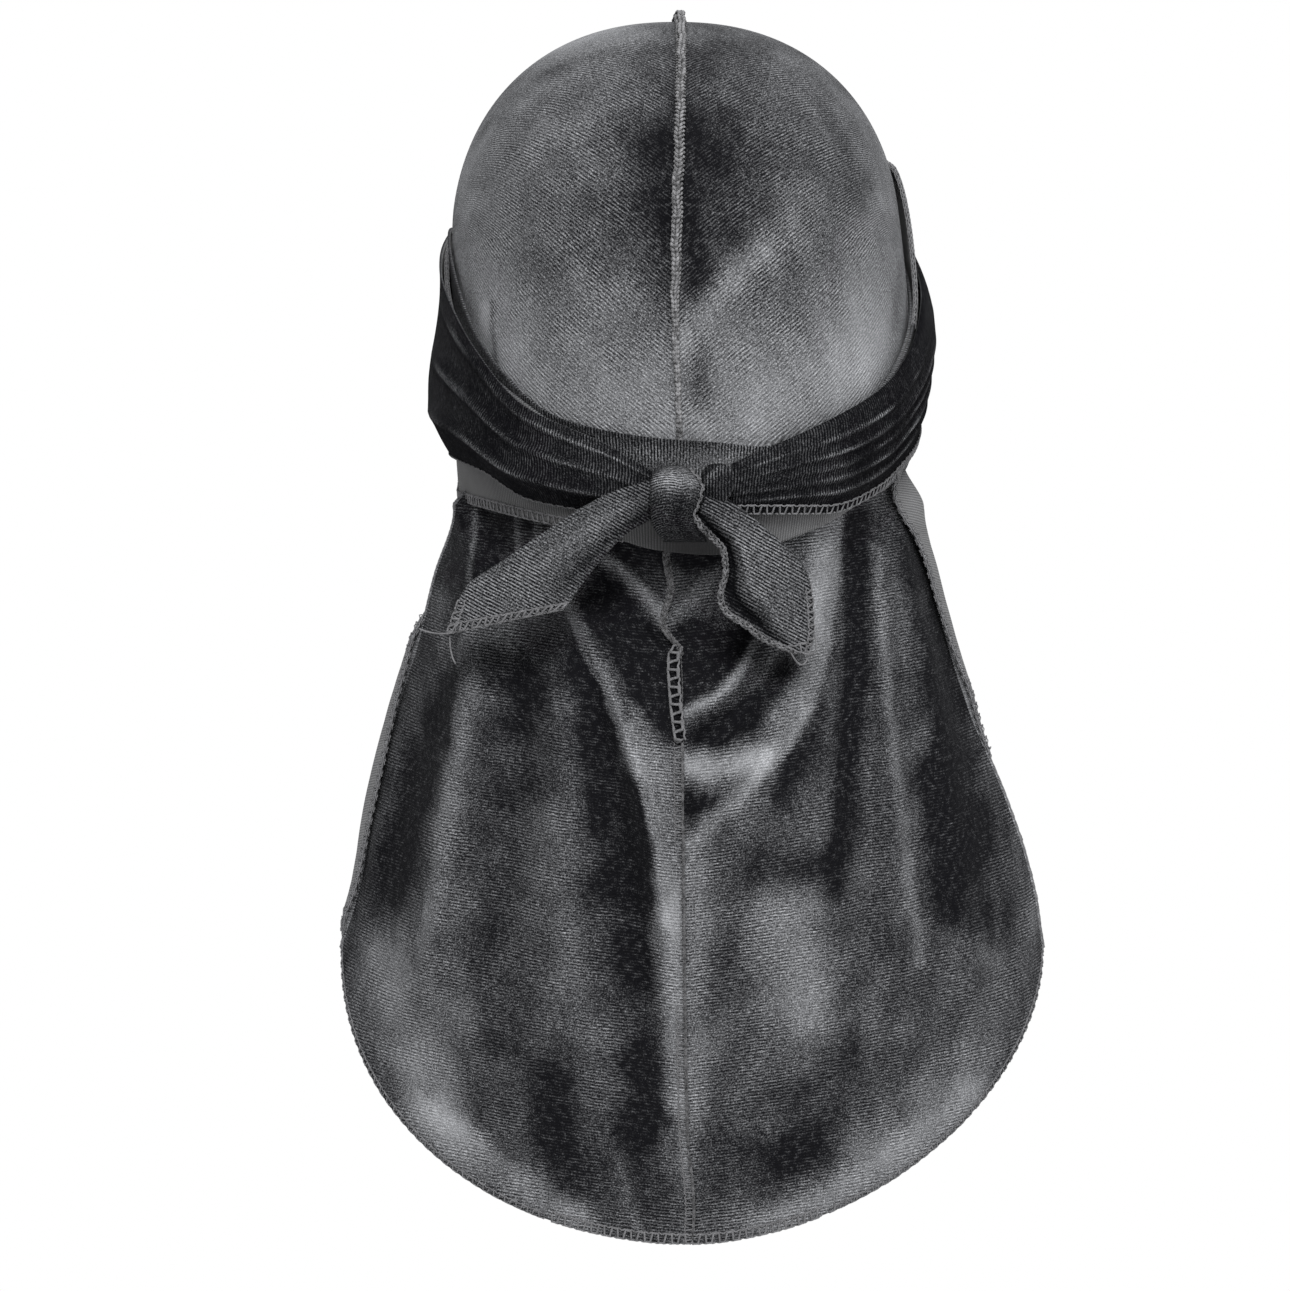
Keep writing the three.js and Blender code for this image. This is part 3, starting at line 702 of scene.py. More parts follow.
def tube(path: np.ndarray, out: np.ndarray, radius: float | np.ndarray, sides: int = 4) -> Surface:
    """A round thread along a path.

    Args:
        path: Points of its middle line.
        out: A direction across the path at each point.
        radius: Half the thread's thickness, one number or one at each point.
        sides: Sides of its section.

    Returns:
        The surface, closed at both ends.
    """
    forward = unit(np.gradient(path, axis=0))
    aside = unit(np.cross(forward, out))
    up = unit(np.cross(aside, forward))
    turn = np.linspace(0, 2 * math.pi, sides, endpoint=False)
    ring = np.cos(turn)[None, :, None] * aside[:, None] + np.sin(turn)[None, :, None] * up[:, None]
    radii = np.broadcast_to(np.asarray(radius, float), len(path))
    points = path[:, None] + ring * radii[:, None, None]
    points[0] = points[0].mean(0)
    points[-1] = points[-1].mean(0)
    count = len(path)
    index = np.arange(count * sides).reshape(count, sides)
    wrapped = np.roll(index, -1, axis=1)
    faces = np.stack([index[:-1], index[1:], wrapped[1:], wrapped[:-1]], -1).reshape(-1, 4)
    length = np.repeat(along(path), sides)
    round_it = np.tile(turn * radii.mean(), count)
    return Surface(
        points.reshape(-1, 3),
        faces,
        np.stack([length, round_it], -1),
        np.zeros(count * sides),
        np.zeros(len(faces), bool),
    ).outward()


# ---- The head's form ---------------------------------------------------------------------
@dataclass
class HeadForm:
    """The oval form that the cloth lies on; it is never drawn."""

    half_width: float = 75
    back: float = 97
    front: float = 95
    top: float = 76.9
    ear_level: float = -77
    squareness: float = 2.25
    side_taper: float = 0.04
    side_fall: float = 73
    back_taper: float = 0.2
    back_fall: float = 100
    lean: Track = field(default_factory=lambda: Track([(10, 2.2), (-60, 2.2), (-105, -0.6), (-190, 0)]))

    def radius(self, angle: np.ndarray, z: np.ndarray) -> np.ndarray:
        """Distance from the axis to the surface.

        Args:
            angle: Angle from the middle of the back, in radians.
            z: Level.

        Returns:
            The distance.
        """
        n = self.squareness
        below = np.maximum(0, self.ear_level - z)
        above = np.maximum(0, z - self.ear_level)
        width = self.half_width * (1 - self.side_taper * (below / self.side_fall) ** 2)
        back = self.back * (1 - self.back_taper * (below / self.back_fall) ** 1.7)
        length = np.where(np.cos(angle) > 0, back, self.front)
        level = np.maximum(0, 1 - (above / self.top) ** n)
        reach = np.abs(np.sin(angle) / width) ** n + np.abs(np.cos(angle) / length) ** n
        return (level / reach) ** (1 / n)

    def on(self, angle: np.ndarray, z: np.ndarray, off: np.ndarray | float = 0) -> np.ndarray:
        """Points outside the form.

        Args:
            angle: Angle from the middle of the back, in radians.
            z: Level.
            off: How far outside.

        Returns:
            The points.
        """
        angle, z = np.broadcast_arrays(np.asarray(angle, float), np.asarray(z, float))
        radius = self.radius(angle, z) + off
        return np.stack([radius * np.sin(angle) + self.lean(z), radius * np.cos(angle), z], -1)

    def crown(self, tilt: float, reach: np.ndarray) -> np.ndarray:
        """Points of the crown.

        Args:
            tilt: The row's angle from the top of the head, in radians.
            reach: Angles out from the midline, in radians.

        Returns:
            The points.
        """
        n = self.squareness
        direction = np.stack(
            [np.sin(reach), np.cos(reach) * math.sin(tilt), np.cos(reach) * math.cos(tilt)], -1
        )
        length = self.back if math.sin(tilt) > 0 else self.front
        total = np.abs(direction[:, 0] / self.half_width) ** n
        total += np.abs(direction[:, 1] / length) ** n
        total += (np.maximum(0, direction[:, 2]) / self.top) ** n
        points = direction * (total ** (-1 / n))[:, None]
        points[:, 2] += self.ear_level
        points[:, 0] += self.lean(points[:, 2])
        return points


# ---- Panels ------------------------------------------------------------------------------
@dataclass(frozen=True)
class Fold:
    """A fold that runs from one place on the cloth to another, past a place that bends it.

    Places are (outwards from the midline, level). A valley has a negative height. `sharp` below 2
    makes a crease. `painted_light` paints a highlight on the crest, and shade along it where it is negative.
    """

    start: tuple[float, float]
    via: tuple[float, float]
    end: tuple[float, float]
    width: float
    height: float
    sharp: float = 2.0
    painted_light: float = 0.0

    def profile(self, x: np.ndarray, z: np.ndarray) -> tuple[np.ndarray, np.ndarray]:
        """Lift, and the painted light over the fold.

        Args:
            x: Distances outwards from the midline.
            z: Levels.

        Returns:
            The lift in millimetres and the change of the nap.
        """
        line = bezier((self.start, self.via, self.end))
        a, b = line[:-1], line[1:]
        place = np.stack([x, z], -1)[..., None, :]
        run = b - a
        t = np.clip(((place - a) * run).sum(-1) / (run**2).sum(-1), 0, 1)
        distance = np.linalg.norm(place - (a + run * t[..., None]), axis=-1).min(-1)
        lift = self.height * np.exp(-((distance / self.width) ** self.sharp))
        # Painted highlight or painted shade along the fold line, by the sign of its value.
        light = self.painted_light * np.exp(-((distance / (0.6 * self.width)) ** 2))
        return lift, light


@dataclass(frozen=True)
class PileAndLightPatch:
    """A patch of painted light and shade mixed with pile that lies another way: its middle, its reach and how
    much lighter it is.
    """

    x: float
    z: float
    wide: float
    high: float
    lighter: float
    lean: float = 0.0

    def __call__(self, x: np.ndarray, z: np.ndarray) -> np.ndarray:
        """Change of painted lightness at places given by x and level.

        Args:
            x: Places to the left of the middle.
            z: Levels.

        Returns:
            The change.
        """
        across = (x - self.x - self.lean * (z - self.z)) / self.wide
        up = (z - self.z) / self.high
        return self.lighter * np.exp(-((across**2 + up**2) ** 1.3))


@dataclass(frozen=True)
class ShadingStroke:
    """A streak of painted light and shade that follows the folds and creases.

    It runs from one place to another past a place that bends it, all (outwards from the midline,
    level). `outer` and `inner` are its reach on either side: for a streak that runs down, away
    from the midline and towards it.
    """

    start: tuple[float, float]
    via: tuple[float, float]
    end: tuple[float, float]
    outer: float
    inner: float
    lighter: float

    def __call__(self, x: np.ndarray, z: np.ndarray) -> np.ndarray:
        """Change of painted lightness at places given by distance from the midline and level.

        Args:
            x: Distances outwards from the midline.
            z: Levels.

        Returns:
            The change.
        """
        line = bezier((self.start, self.via, self.end))
        a, run = line[:-1], np.diff(line, axis=0)
        offset = np.stack([x, z], -1)[..., None, :] - a
        t = np.clip((offset * run).sum(-1) / (run**2).sum(-1), 0, 1)
        rest = offset - run * t[..., None]
        distance = np.linalg.norm(rest, axis=-1)
        nearest = distance.argmin(-1)[..., None]
        cross = run[:, 0] * rest[..., 1] - run[:, 1] * rest[..., 0]
        outside = np.take_along_axis(cross, nearest, -1)[..., 0] > 0
        reach = np.where(outside, self.outer, self.inner)
        return self.lighter * np.exp(-((np.take_along_axis(distance, nearest, -1)[..., 0] / reach) ** 2.4))


CAPE_ROWS = [
    # midY, midZ, edgeY, edgeZ, left, right
    (88, -143, 36, -143, 74, 75),
    (78, -177, 32, -163, 74.5, 75.5),
    (79, -205, 30, -184, 81, 80.5),
    (88, -235, 29, -206, 86.5, 86.5),
    (95, -270, 29, -229, 93.5, 94),
    (94, -313, 30, -258, 100.8, 106),
    (90, -357, 33, -284, 105, 114),
    (86, -395, 36, -306, 111.5, 117.5),
]
CAPE_TURN = Track([(0, 72), (4, 72), (5.5, 80), (7, 90)])
SEAM_DRIFT = Track(
    [(-96, -1), (0, -0.6), (43, -1.2), (76, -0.7), (96, 1.6), (118, 3.4), (150, 2.5), (170, 3.5)]
    + [(189, 7.2), (202, 5.2), (213, 6.8), (222, 1.4), (241, 0.8), (290, 0.4), (370, -0.8), (398, -3)]
    + [(412, -2)]
)


@dataclass
class Panel:
    """One half of crown and cape."""

    side: Side
    head: HeadForm
    folds: list[Fold]
    pile_and_light_patches: list[PileAndLightPatch]
    shading_strokes: list[ShadingStroke]
    curl: Track
    curl_levels: tuple[float, float]
    squareness: tuple[float, float]
    seed: int
    cloth_wall: float = 1.1
    front_hem: float = -96
    back_row: float = 90
    ear_reach: float = 84
    nape_reach: float = 66
    nape_level: float = -150
    straps_end: float = -179
    leaving_fall: float = 22
    curl_radius: float = 1.3
    step: float = 1.75
    columns: int = 84
    curl_columns: int = 14
    crown_turn: float = math.radians(39)
    crown_radius: float = 90
    nape_length: float = 66
    cape_length: float = 262
    leaving: tuple[float, float] = (-152, 10)

    def __post_init__(self) -> None:
        """Prepares the curves along the cape's rows."""
        self.sign = self.side.value
        self.name = f"panel_{self.side.name.lower()}"
        tracks = [
            Track([(i, row[k]) for i, row in enumerate(CAPE_ROWS)]) for k in range(6)
        ]
        self.mid_y, self.mid_z, self.edge_y, self.edge_z = tracks[:4]
        self.half_width = tracks[4] if self.side is Side.LEFT else tracks[5]
        self.last_row = len(CAPE_ROWS) - 1

    def _aside(self, v: np.ndarray, reach: float | np.ndarray, place: np.ndarray | float) -> np.ndarray:
        """Angle from the midline, `v` of the way to the edge."""
        drift = SEAM_DRIFT(place) / self.head.back * (1 - v) ** 2
        return self.sign * np.radians(v * reach) + drift

    def _seam_place(self, z: np.ndarray | float) -> np.ndarray:
        """How SEAM_DRIFT counts a level on the midline."""
        return self.back_row + self.head.ear_level - z

    def _nape(self, v: np.ndarray, z: np.ndarray | float, place: np.ndarray | float) -> np.ndarray:
        """Points of the part that lies on the head below the ears.

        Args:
            v: Places across the panel.
            z: Levels.
            place: Where SEAM_DRIFT is read.

        Returns:
            The points.
        """
        ear, nape = self.head.ear_level, self.nape_level
        fall = np.clip((ear - z) / (ear - nape), 0, 1)
        return self.head.on(self._aside(v, mix(self.ear_reach, self.nape_reach, fall), place), z)

    def _leaves(self, v: np.ndarray) -> np.ndarray:
        """Level at which the cape leaves the head's form."""
        return mix(self.straps_end, self.leaving[0], v**3)

    def _left(self, v: np.ndarray) -> np.ndarray:
        """Level at which the cape hangs free."""
        return self._leaves(v) - mix(self.leaving_fall, self.leaving[1], v**3)

    def _cape(self, row: float, v: np.ndarray) -> np.ndarray:
        """Points of one row of the cape.

        Args:
            row: The row of CAPE_ROWS, or a place between two rows.
            v: Places across the panel.

        Returns:
            The points.
        """
        exponent = 2 / mix(*self.squareness, row / self.last_row)
        turn = math.radians(CAPE_TURN(row))
        at_edge = max(0.0, math.cos(turn)) ** exponent
        inward = (np.maximum(0, np.cos(v * turn)) ** exponent - at_edge) / (1 - at_edge)
        outward = (np.sin(v * turn) / math.sin(turn)) ** exponent
        x = self.sign * self.half_width(row) * outward
        y = mix(self.edge_y(row), self.mid_y(row), inward)
        z = mix(self.edge_z(row), self.mid_z(row), inward)
        place = self._seam_place(self.mid_z(row))
        hung = np.stack([x + SEAM_DRIFT(place) * (1 - v) ** 2, y, z], -1)
        worn = self._nape(v, z, place)
        free = self._step(-z, -self._leaves(v), -self._left(v))[:, None]
        return mix(worn, hung, free)

    @staticmethod
    def _step(value: np.ndarray, low: np.ndarray, high: np.ndarray) -> np.ndarray:
        """A smooth step between limits that change along the row."""
        t = np.clip((value - low) / (high - low), 0, 1)
        return t * t * (3 - 2 * t)

    def base(self, v: np.ndarray) -> np.ndarray:
        """The unfolded face, from the front hem to the bottom hem.

        Args:
            v: Places across the panel, from 0 at the seam to 1 at the edge.

        Returns:
            Points, one row of them for each row of the grid.
        """
        span = math.radians(self.back_row - self.front_hem) * self.crown_radius
        tilts = np.linspace(self.front_hem, self.back_row, int(span / self.step))
        levels = np.linspace(self.head.ear_level, CAPE_ROWS[0][1], int(self.nape_length / self.step))[1:]
        rows = np.linspace(0, self.last_row, int(self.cape_length / self.step))[1:]
        crown = [
            self.head.crown(math.radians(tilt), self._aside(v, self.ear_reach, tilt))
            for tilt in tilts
        ]
        nape = [self._nape(v, level, self._seam_place(level)) for level in levels]
        cape = [self._cape(row, v) for row in rows]
        return np.array(crown + nape + cape)

    def face(self) -> Cloth:
        """The folded face with its curled edge, and what is painted on it.

        Returns:
            The cloth of the panel.
        """
        v = np.linspace(0, 1, self.columns + 1)
        points = self.base(v)
        unfolded = points.copy()
        z, x = points[..., 2], self.sign * points[..., 0]
        behind = (points[..., 1] > 0) & (z < self.head.ear_level + 4)
        below = self._step(-z, -self._leaves(v), -mix(self._leaves(v), self._left(v), 0.5))
        free = np.maximum(below, 1 - smooth(-z, 112, 124))
        fade = free * smooth(v, 0, 0.06) * (1 - smooth(v, 0.86, 0.96))
        # The folds also paint light: highlights on crests, shade in creases.
        painted_light = np.zeros(z.shape)
        for fold in self.folds:
            lift, light = fold.profile(x, z)
            points[..., 1] += np.where(behind, lift * fade, 0)
            painted_light += np.where(behind, light, 0)
        points = np.concatenate([points, self._curled(points)], axis=1)
        cloth = self._cloth_places(points, unfolded)
        ripple = Ripple(self.seed, 26)(cloth) * 0.35 + Ripple(self.seed + 1, 9)(cloth) * 0.1
        hung = smooth(-points[..., 2], 178, 200)
        points[..., 1] += np.where(points[..., 1] > 0, ripple * hung, 0)
        nap = self._pile_and_light(points, cloth) + np.pad(painted_light, ((0, 0), (0, self.curl_columns)))
        # The turned-back strip is painted lighter on the right than on the left, to make up for the weaker
        # light there.
        nap[:, -self.curl_columns :] = 0.74 - 0.14 * self.sign
        return Cloth(points, cloth, nap, self.sign * self.cloth_wall)

    def _curled(self, points: np.ndarray) -> np.ndarray:
        """The cloth past the side edge, which turns back and lies on the face, wrong side out.

        Args:
            points: The folded face.

        Returns:
            The points past its last column.
        """
        edge = points[:, -1]
        out = unit(edge - points[:, -4])[:, None]
        inward = points[:, ::-1]
        arc = along(inward.swapaxes(0, 1)).T
        off = -Cloth(points, points[..., :2], points[..., 0], self.sign * self.cloth_wall).normals()[:, ::-1]
        low, high = self.curl_levels
        turns = (edge[:, 2] >= low) & (edge[:, 2] <= high) & (edge[:, 1] > 0)
        turned = np.where(turns, np.maximum(self.curl(edge[:, 2]), 0.4), 0.4)
        length = turned[:, None] * np.linspace(0, 1, self.curl_columns + 1)[1:]
        radius = np.clip(turned / 4, 0.3, self.curl_radius)[:, None]
        angle = np.minimum(length / radius, math.pi)[..., None]
        flat = np.maximum(0, length - math.pi * radius)

        def lying(values: np.ndarray) -> np.ndarray:
            """Values on the face where the turned cloth lies on it.

            Args:
                values: Values at the points, from the edge inwards.

            Returns:
                The values under the turned cloth.
            """
            rows = range(len(values))
            return np.array(
                [[np.interp(flat[i], arc[i], values[i, :, k]) for k in range(3)] for i in rows]
            ).swapaxes(1, 2)

        radius = radius[..., None]
        ahead, lift = radius * np.sin(angle), radius * (1 - np.cos(angle))
        return lying(inward) + out * ahead + unit(lying(off)) * lift

    def _cloth_places(self, points: np.ndarray, unfolded: np.ndarray) -> np.ndarray:
        """Place of each point on the cloth: along the wales and across them.

        Args:
            points: The folded face.
            unfolded: The face before its folds.

        Returns:
            The places in millimetres.
        """
        across = along(points.swapaxes(0, 1)).swapaxes(0, 1)
        down = along(unfolded[:, 0])[:, None] + np.zeros_like(across)
        cos, sin = math.cos(self.crown_turn), math.sin(self.crown_turn)
        crown = np.stack([across * cos - down * sin, down * cos + across * sin], -1)
        z = points[..., 2]
        cape = np.stack([across, -z * 1.02 + across * 0.13 + 60], -1) * [1, 1.1]
        v = np.clip(np.arange(z.shape[1]) / self.columns, 0, 1) ** 2
        hung = self._step(-z, mix(145, 108, v), mix(172, 146, v)) * (points[..., 1] > 0)
        return mix(crown, cape, hung[..., None])

    def _pile_and_light(self, points: np.ndarray, cloth: np.ndarray) -> np.ndarray:
        """Lightness of the pile at each point, with painted highlights and painted shade added.

        Args:
            points: The folded face.
            cloth: Its places on the cloth.

        Returns:
            The lightness, from about 0 to 1.
        """
        x, z = points[..., 0], points[..., 2]
        # Crown lighter than the cape; the drop just under the straps is painted shadow.
        nap = mix(0.42, 0.26, smooth(-z, 140, 175))
        behind = smooth(points[..., 1], -15, 30)
        x = x + Ripple(self.seed + 4, 13)(cloth) * 0.45
        z = z + Ripple(self.seed + 5, 13)(cloth) * 0.6
        for patch in self.pile_and_light_patches:
            nap += patch(x, z) * behind
        for shading_stroke in self.shading_strokes:
            nap += shading_stroke(self.sign * x, z) * behind
        nap += Ripple(self.seed + 2, 40)(cloth) * 0.05 + Ripple(self.seed + 3, 16)(cloth) * 0.035
        return nap

    def build(self, finishes: Wardrobe) -> Cloth:
        """Makes the panel.

        Args:
            finishes: The durag's finishes.

        Returns:
            The panel's cloth, for its hems.
        """
        cloth = self.face()
        seam = cloth.points[:, 0, 0]

        def before_seam(inner: np.ndarray) -> np.ndarray:
            """Keeps the inside on its own side of the seam.

            Args:
                inner: Points of the inside.

            Returns:
                The points, moved.
            """
            reach = self.sign * (inner[..., 0] - seam[:, None])
            inner[..., 0] = seam[:, None] + self.sign * np.maximum(reach, 0)
            return inner

        piece = cloth.solid(before_seam).place(
            f"{self.name}_cloth", [finishes.velvet, finishes.wrong], [self.name]
        )
        return cloth


# ---- Straps ------------------------------------------------------------------------------
@dataclass(frozen=True)
class Pleat:
    """A fold along a strap: where across it, how wide and how high."""

    across: float
    width: float
    height: float
    # Painted highlight on the pleat's crest; a negative value paints shade along it.
    painted_light: float = 0.3


@dataclass
class Strap:
    """One strap, from its temple round the head twice to the knot."""

    side: Side
    head: HeadForm
    rows: list[tuple[float, float, float, float]]
    pleats: list[Pleat]
    swell: float
    belly: float
    wrong_until: float | None
    knot_light: float
    seed: int
    cloth_wall: float = 0.8
    cad_wall: float = 1.0
    first_layer: float = 0.62
    pitch: float = 1.8
    folds_start: float = -215
    folds_full: float = -270
    pull: tuple[float, float, float] = (-322, -350, 0.4)
    opening_turns: tuple[float, float] = (268, 305)
    knot_turns: tuple[float, float] = (312, 342)
    step: float = 1.15
    columns: int = 34

    def face(self) -> Cloth:
        """The strap's outside, with its pleats.

        Returns:
            The cloth.
        """
        sign = self.side.value
        top, bottom, layer = (Track([(r[0], r[k]) for r in self.rows]) for k in (1, 2, 3))
        first, last = self.rows[0][0], self.rows[-1][0]
        turn = np.linspace(first, last, int((first - last) / self.step))[:, None]
        across = np.linspace(0, 1, self.columns + 1)[None, :]
        z = mix(top(turn), bottom(turn), across)
        grown = smooth(-turn, -self.folds_start, -self.folds_full)
        drawn = mix(1, self.pull[2], smooth(-turn, -self.pull[0], -self.pull[1]))
        folds = np.zeros(np.broadcast(turn, across).shape)
        painted_light = folds.copy()
        drift = Ripple(self.seed, 70)(np.concatenate([turn, turn * 0], -1))[:, None] * 0.02
        for pleat in self.pleats:
            bell = np.exp(-np.abs((across - pleat.across - drift) / pleat.width) ** 1.7)
            folds = folds + pleat.height * bell
            painted_light = painted_light + pleat.painted_light * bell**5
        opened = smooth(-turn, *self.opening_turns)
        lift = drawn * (opened * folds + grown * self.swell * np.sin(math.pi * across**self.belly))
        off = self.first_layer + (layer(turn) - 1) * self.pitch + self.cad_wall
        points = self.head.on(sign * np.radians(turn), z, off + lift)
        width = along(points.swapaxes(0, 1)).swapaxes(0, 1)
        length = along(points[:, self.columns // 2])[:, None] + 0 * width
        cloth = np.stack([width, length], -1)
        # early paints shade along the first turn's top edge; painted_light paints highlights on the pleat
        # crests; in_shade paints the shade under the knot.
        early = (1 - smooth(-turn, 40, 120)) * mix(0.4, 1, smooth(across, 0, 0.4))
        by_knot = self.knot_light * smooth(-turn, *self.knot_turns) * (1 - 0.6 * across)
        crests = np.clip(0.75 + Ripple(self.seed + 1, 30)(cloth) * 0.6, 0.1, 1.4)
        nap = 0.4 * early * mix(0.85, 1.6, smooth(-turn, -10, 14)) + by_knot + painted_light * opened * crests
        wrong = None
        if self.wrong_until is not None:
            wrong = np.repeat(turn[:-1] > self.wrong_until, self.columns, axis=1)
            in_shade = 0.46 - 0.42 * np.exp(-(((turn - 2) / 13) ** 2)) - 0.1 * smooth(-turn, 20, 45) + 0 * nap
            nap = np.where(turn > self.wrong_until, in_shade, nap)
        return Cloth(points, cloth, nap, sign * self.cloth_wall, wrong)

    def build(self, finishes: Wardrobe) -> Cloth:
        """Makes the strap.

        Args:
            finishes: The durag's finishes.

        Returns:
            The strap's cloth, for its hems.
        """
        name = f"strap_{self.side.name.lower()}"
        cloth = self.face()
        piece = cloth.solid().place(
            f"{name}_cloth", [finishes.strap_velvet, finishes.wrong], [name]
        )
        return cloth


@dataclass
class Tail:
    """One tail, from the knot to its end hem, section by section."""

    side: Side
    uppers: list[tuple[float, float, float]]
    lowers: list[tuple[float, float, float]]
    bulges: list[float]
    pleats: list[Pleat]
    nap: float
    flat: tuple[float, float]
    area: float
    wale_turn: float = math.radians(28)
    cloth_wall: float = 0.9
    rows: int = 64
    columns: int = 26

    @staticmethod
    def _through(points: list[tuple[float, float, float]], share: np.ndarray) -> np.ndarray:
        """A smooth line through points.

        Args:
            points: The points.
            share: Places along the line, from 0 to 1.

        Returns:
            Points on the line.
        """
        table = np.array(points, float)
        place = along(table)
        tracks = [Track(list(zip(place, table[:, k]))) for k in range(3)]
        return np.stack([track(share * place[-1]) for track in tracks], -1)

    def face(self) -> Cloth:
        """The tail's outside.

        Returns:
            The cloth.
        """
        share = np.linspace(0, 1, self.rows + 1)
        across = np.linspace(0, 1, self.columns + 1)
        upper, lower = self._through(self.uppers, share), self._through(self.lowers, share)
        points = mix(upper[:, None], lower[:, None], across[None, :, None])
        count = len(self.bulges) - 1
        bulge = Track([(i / count, b) for i, b in enumerate(self.bulges)])(share)[:, None]
        points[..., 1] += bulge * np.sin(math.pi * across)
        painted_light = np.zeros(points.shape[:2])
        spread = np.sin(math.pi * np.clip(share * 0.9 + 0.1, 0, 1))[:, None]
        for pleat in self.pleats:
            bell = np.exp(-np.abs((across[None] - pleat.across) / pleat.width) ** 1.7)
            points[..., 1] += pleat.height * bell * spread
            painted_light += pleat.painted_light * bell**2 * spread
        x, z = points[..., 0], points[..., 2]
        cos, sin = math.cos(self.wale_turn), math.sin(self.wale_turn)
        cloth = np.stack([x * cos + z * sin, x * sin - z * cos], -1)
        wall = -self.side.value * self.cloth_wall
        # Pleat crests are painted as highlights and the rolled-under edge as painted shade.
        nap = self.nap * mix(0.5, 1, smooth(share, 0, 0.3))[:, None] + painted_light
        return Cloth(points, cloth, nap, wall)

    def build(self, finishes: Wardrobe) -> Cloth:
        """Makes the tail.

        Args:
            finishes: The durag's finishes.

        Returns:
            The tail's cloth, for its hems.
        """
        name = f"tail_{self.side.name.lower()}"
        cloth = self.face()
        piece = cloth.solid().place(
            f"{name}_cloth", [finishes.strap_velvet, finishes.wrong], [name]
        )
        return cloth


# ---- Knot --------------------------------------------------------------------------------
@dataclass
class Knot:
    """The tucked lump and the turn of strap drawn over it."""

    centre: tuple[float, float, float] = (-2.6, 93.8, -160.8)
    radii: tuple[float, float, float] = (10.6, 4.2, 6.2)
    tuck: tuple[float, float, float] = (-10.2, 95.5, -156)
    tuck_radii: tuple[float, float, float] = (5.4, 5.0, 6.4)
    left_edge: Track = field(
        default_factory=lambda: Track([(0, 5.5), (0.1, 9.4), (0.3, 10.9), (0.75, 10.4), (1, 6.5)])
    )
    right_edge: Track = field(
        default_factory=lambda: Track(
            [(0, 0.6), (0.1, -2.6), (0.3, -5.7), (0.5, -4.6), (0.68, -3.1), (0.85, -5), (1, -7)]
        )
    )
    top: float = -150.5
    bottom: float = -174.5
    top_y: float = 91.6
    bottom_y: float = 85.7
    rise: float = 15
    rounding: float = 4.2
    wall: float = 1.4

    def lump(self, centre: tuple[float, float, float], radii: tuple[float, float, float]) -> Surface:
        """A tucked lump of strap, folded along its length.

        Args:
            centre: Its middle.
            radii: Its half sizes.

        Returns:
            The surface.
        """
        rows, columns = 48, 64
        up = np.linspace(0.02, math.pi - 0.02, rows)[:, None]
        turn = np.linspace(0, 2 * math.pi, columns, endpoint=False)[None, :]
        swell = 1 + 0.09 * np.cos(3 * turn + 2 * up) * np.sin(up)
        shape = np.stack(
            [np.cos(up) + 0 * turn, np.sin(up) * np.sin(turn) * swell, np.sin(up) * np.cos(turn) * swell], -1
        )
        points = shape * radii + centre
        index = np.arange(rows * columns).reshape(rows, columns)
        wrapped = np.roll(index, -1, axis=1)
        faces = np.stack([index[:-1], wrapped[:-1], wrapped[1:], index[1:]], -1).reshape(-1, 4)
        cloth = np.stack([turn * 7 + 0 * up, points[..., 0]], -1).reshape(-1, 2)
        # The swells' crests are painted lighter as highlights.
        nap = (0.08 + 0.14 * smooth(np.cos(3 * turn + 2 * up), 0.3, 1)).reshape(-1)
        return Surface(points.reshape(-1, 3), faces, cloth, nap, np.zeros(len(faces), bool)).outward()

    def loop(self) -> Cloth:
        """The turn of strap over the lump.

        Returns:
            Its cloth.
        """
        length = np.linspace(0, 1, 57)[:, None]
        across = np.linspace(0, 1, 31)[None, :]
        aside = 2 * across - 1
        arch = np.sin(math.pi * length) ** 0.45
        crease = 0.8 * np.exp(-(((across - 0.4) / 0.12) ** 2)) * arch
        x = mix(self.right_edge(length), self.left_edge(length), across)
        y = mix(self.top_y, self.bottom_y, length) + self.rise * arch
        y = y - self.rounding * np.abs(aside) ** 3 * arch - crease
        z = mix(self.top, self.bottom, length) + 0 * across
        points = np.stack(np.broadcast_arrays(x, y, z), -1)
        down = along(points)
        wide = along(points.swapaxes(0, 1)).swapaxes(0, 1)
        # Painted highlight near the loop's top and painted shade in its crease.
        nap = 0.16 + 0.45 * np.exp(-(((length - 0.2) / 0.16) ** 2)) * (1 - aside**4) - 0.1 * crease
        return Cloth(points, np.stack([wide, down], -1), nap, self.wall)

    def build(self, finishes: Wardrobe) -> Cloth:
        """Makes the knot.

        Args:
            finishes: The durag's finishes.

        Returns:
            The loop's cloth, for its hem.
        """
        lumps = joined([self.lump(self.centre, self.radii), self.lump(self.tuck, self.tuck_radii)])
        lump = lumps.place("knot_lump", [finishes.strap_velvet], ["knot_core"])
        cloth = self.loop()
        loop = cloth.solid().place("knot_turn", [finishes.strap_velvet, finishes.wrong], ["knot_loop"])
        return cloth


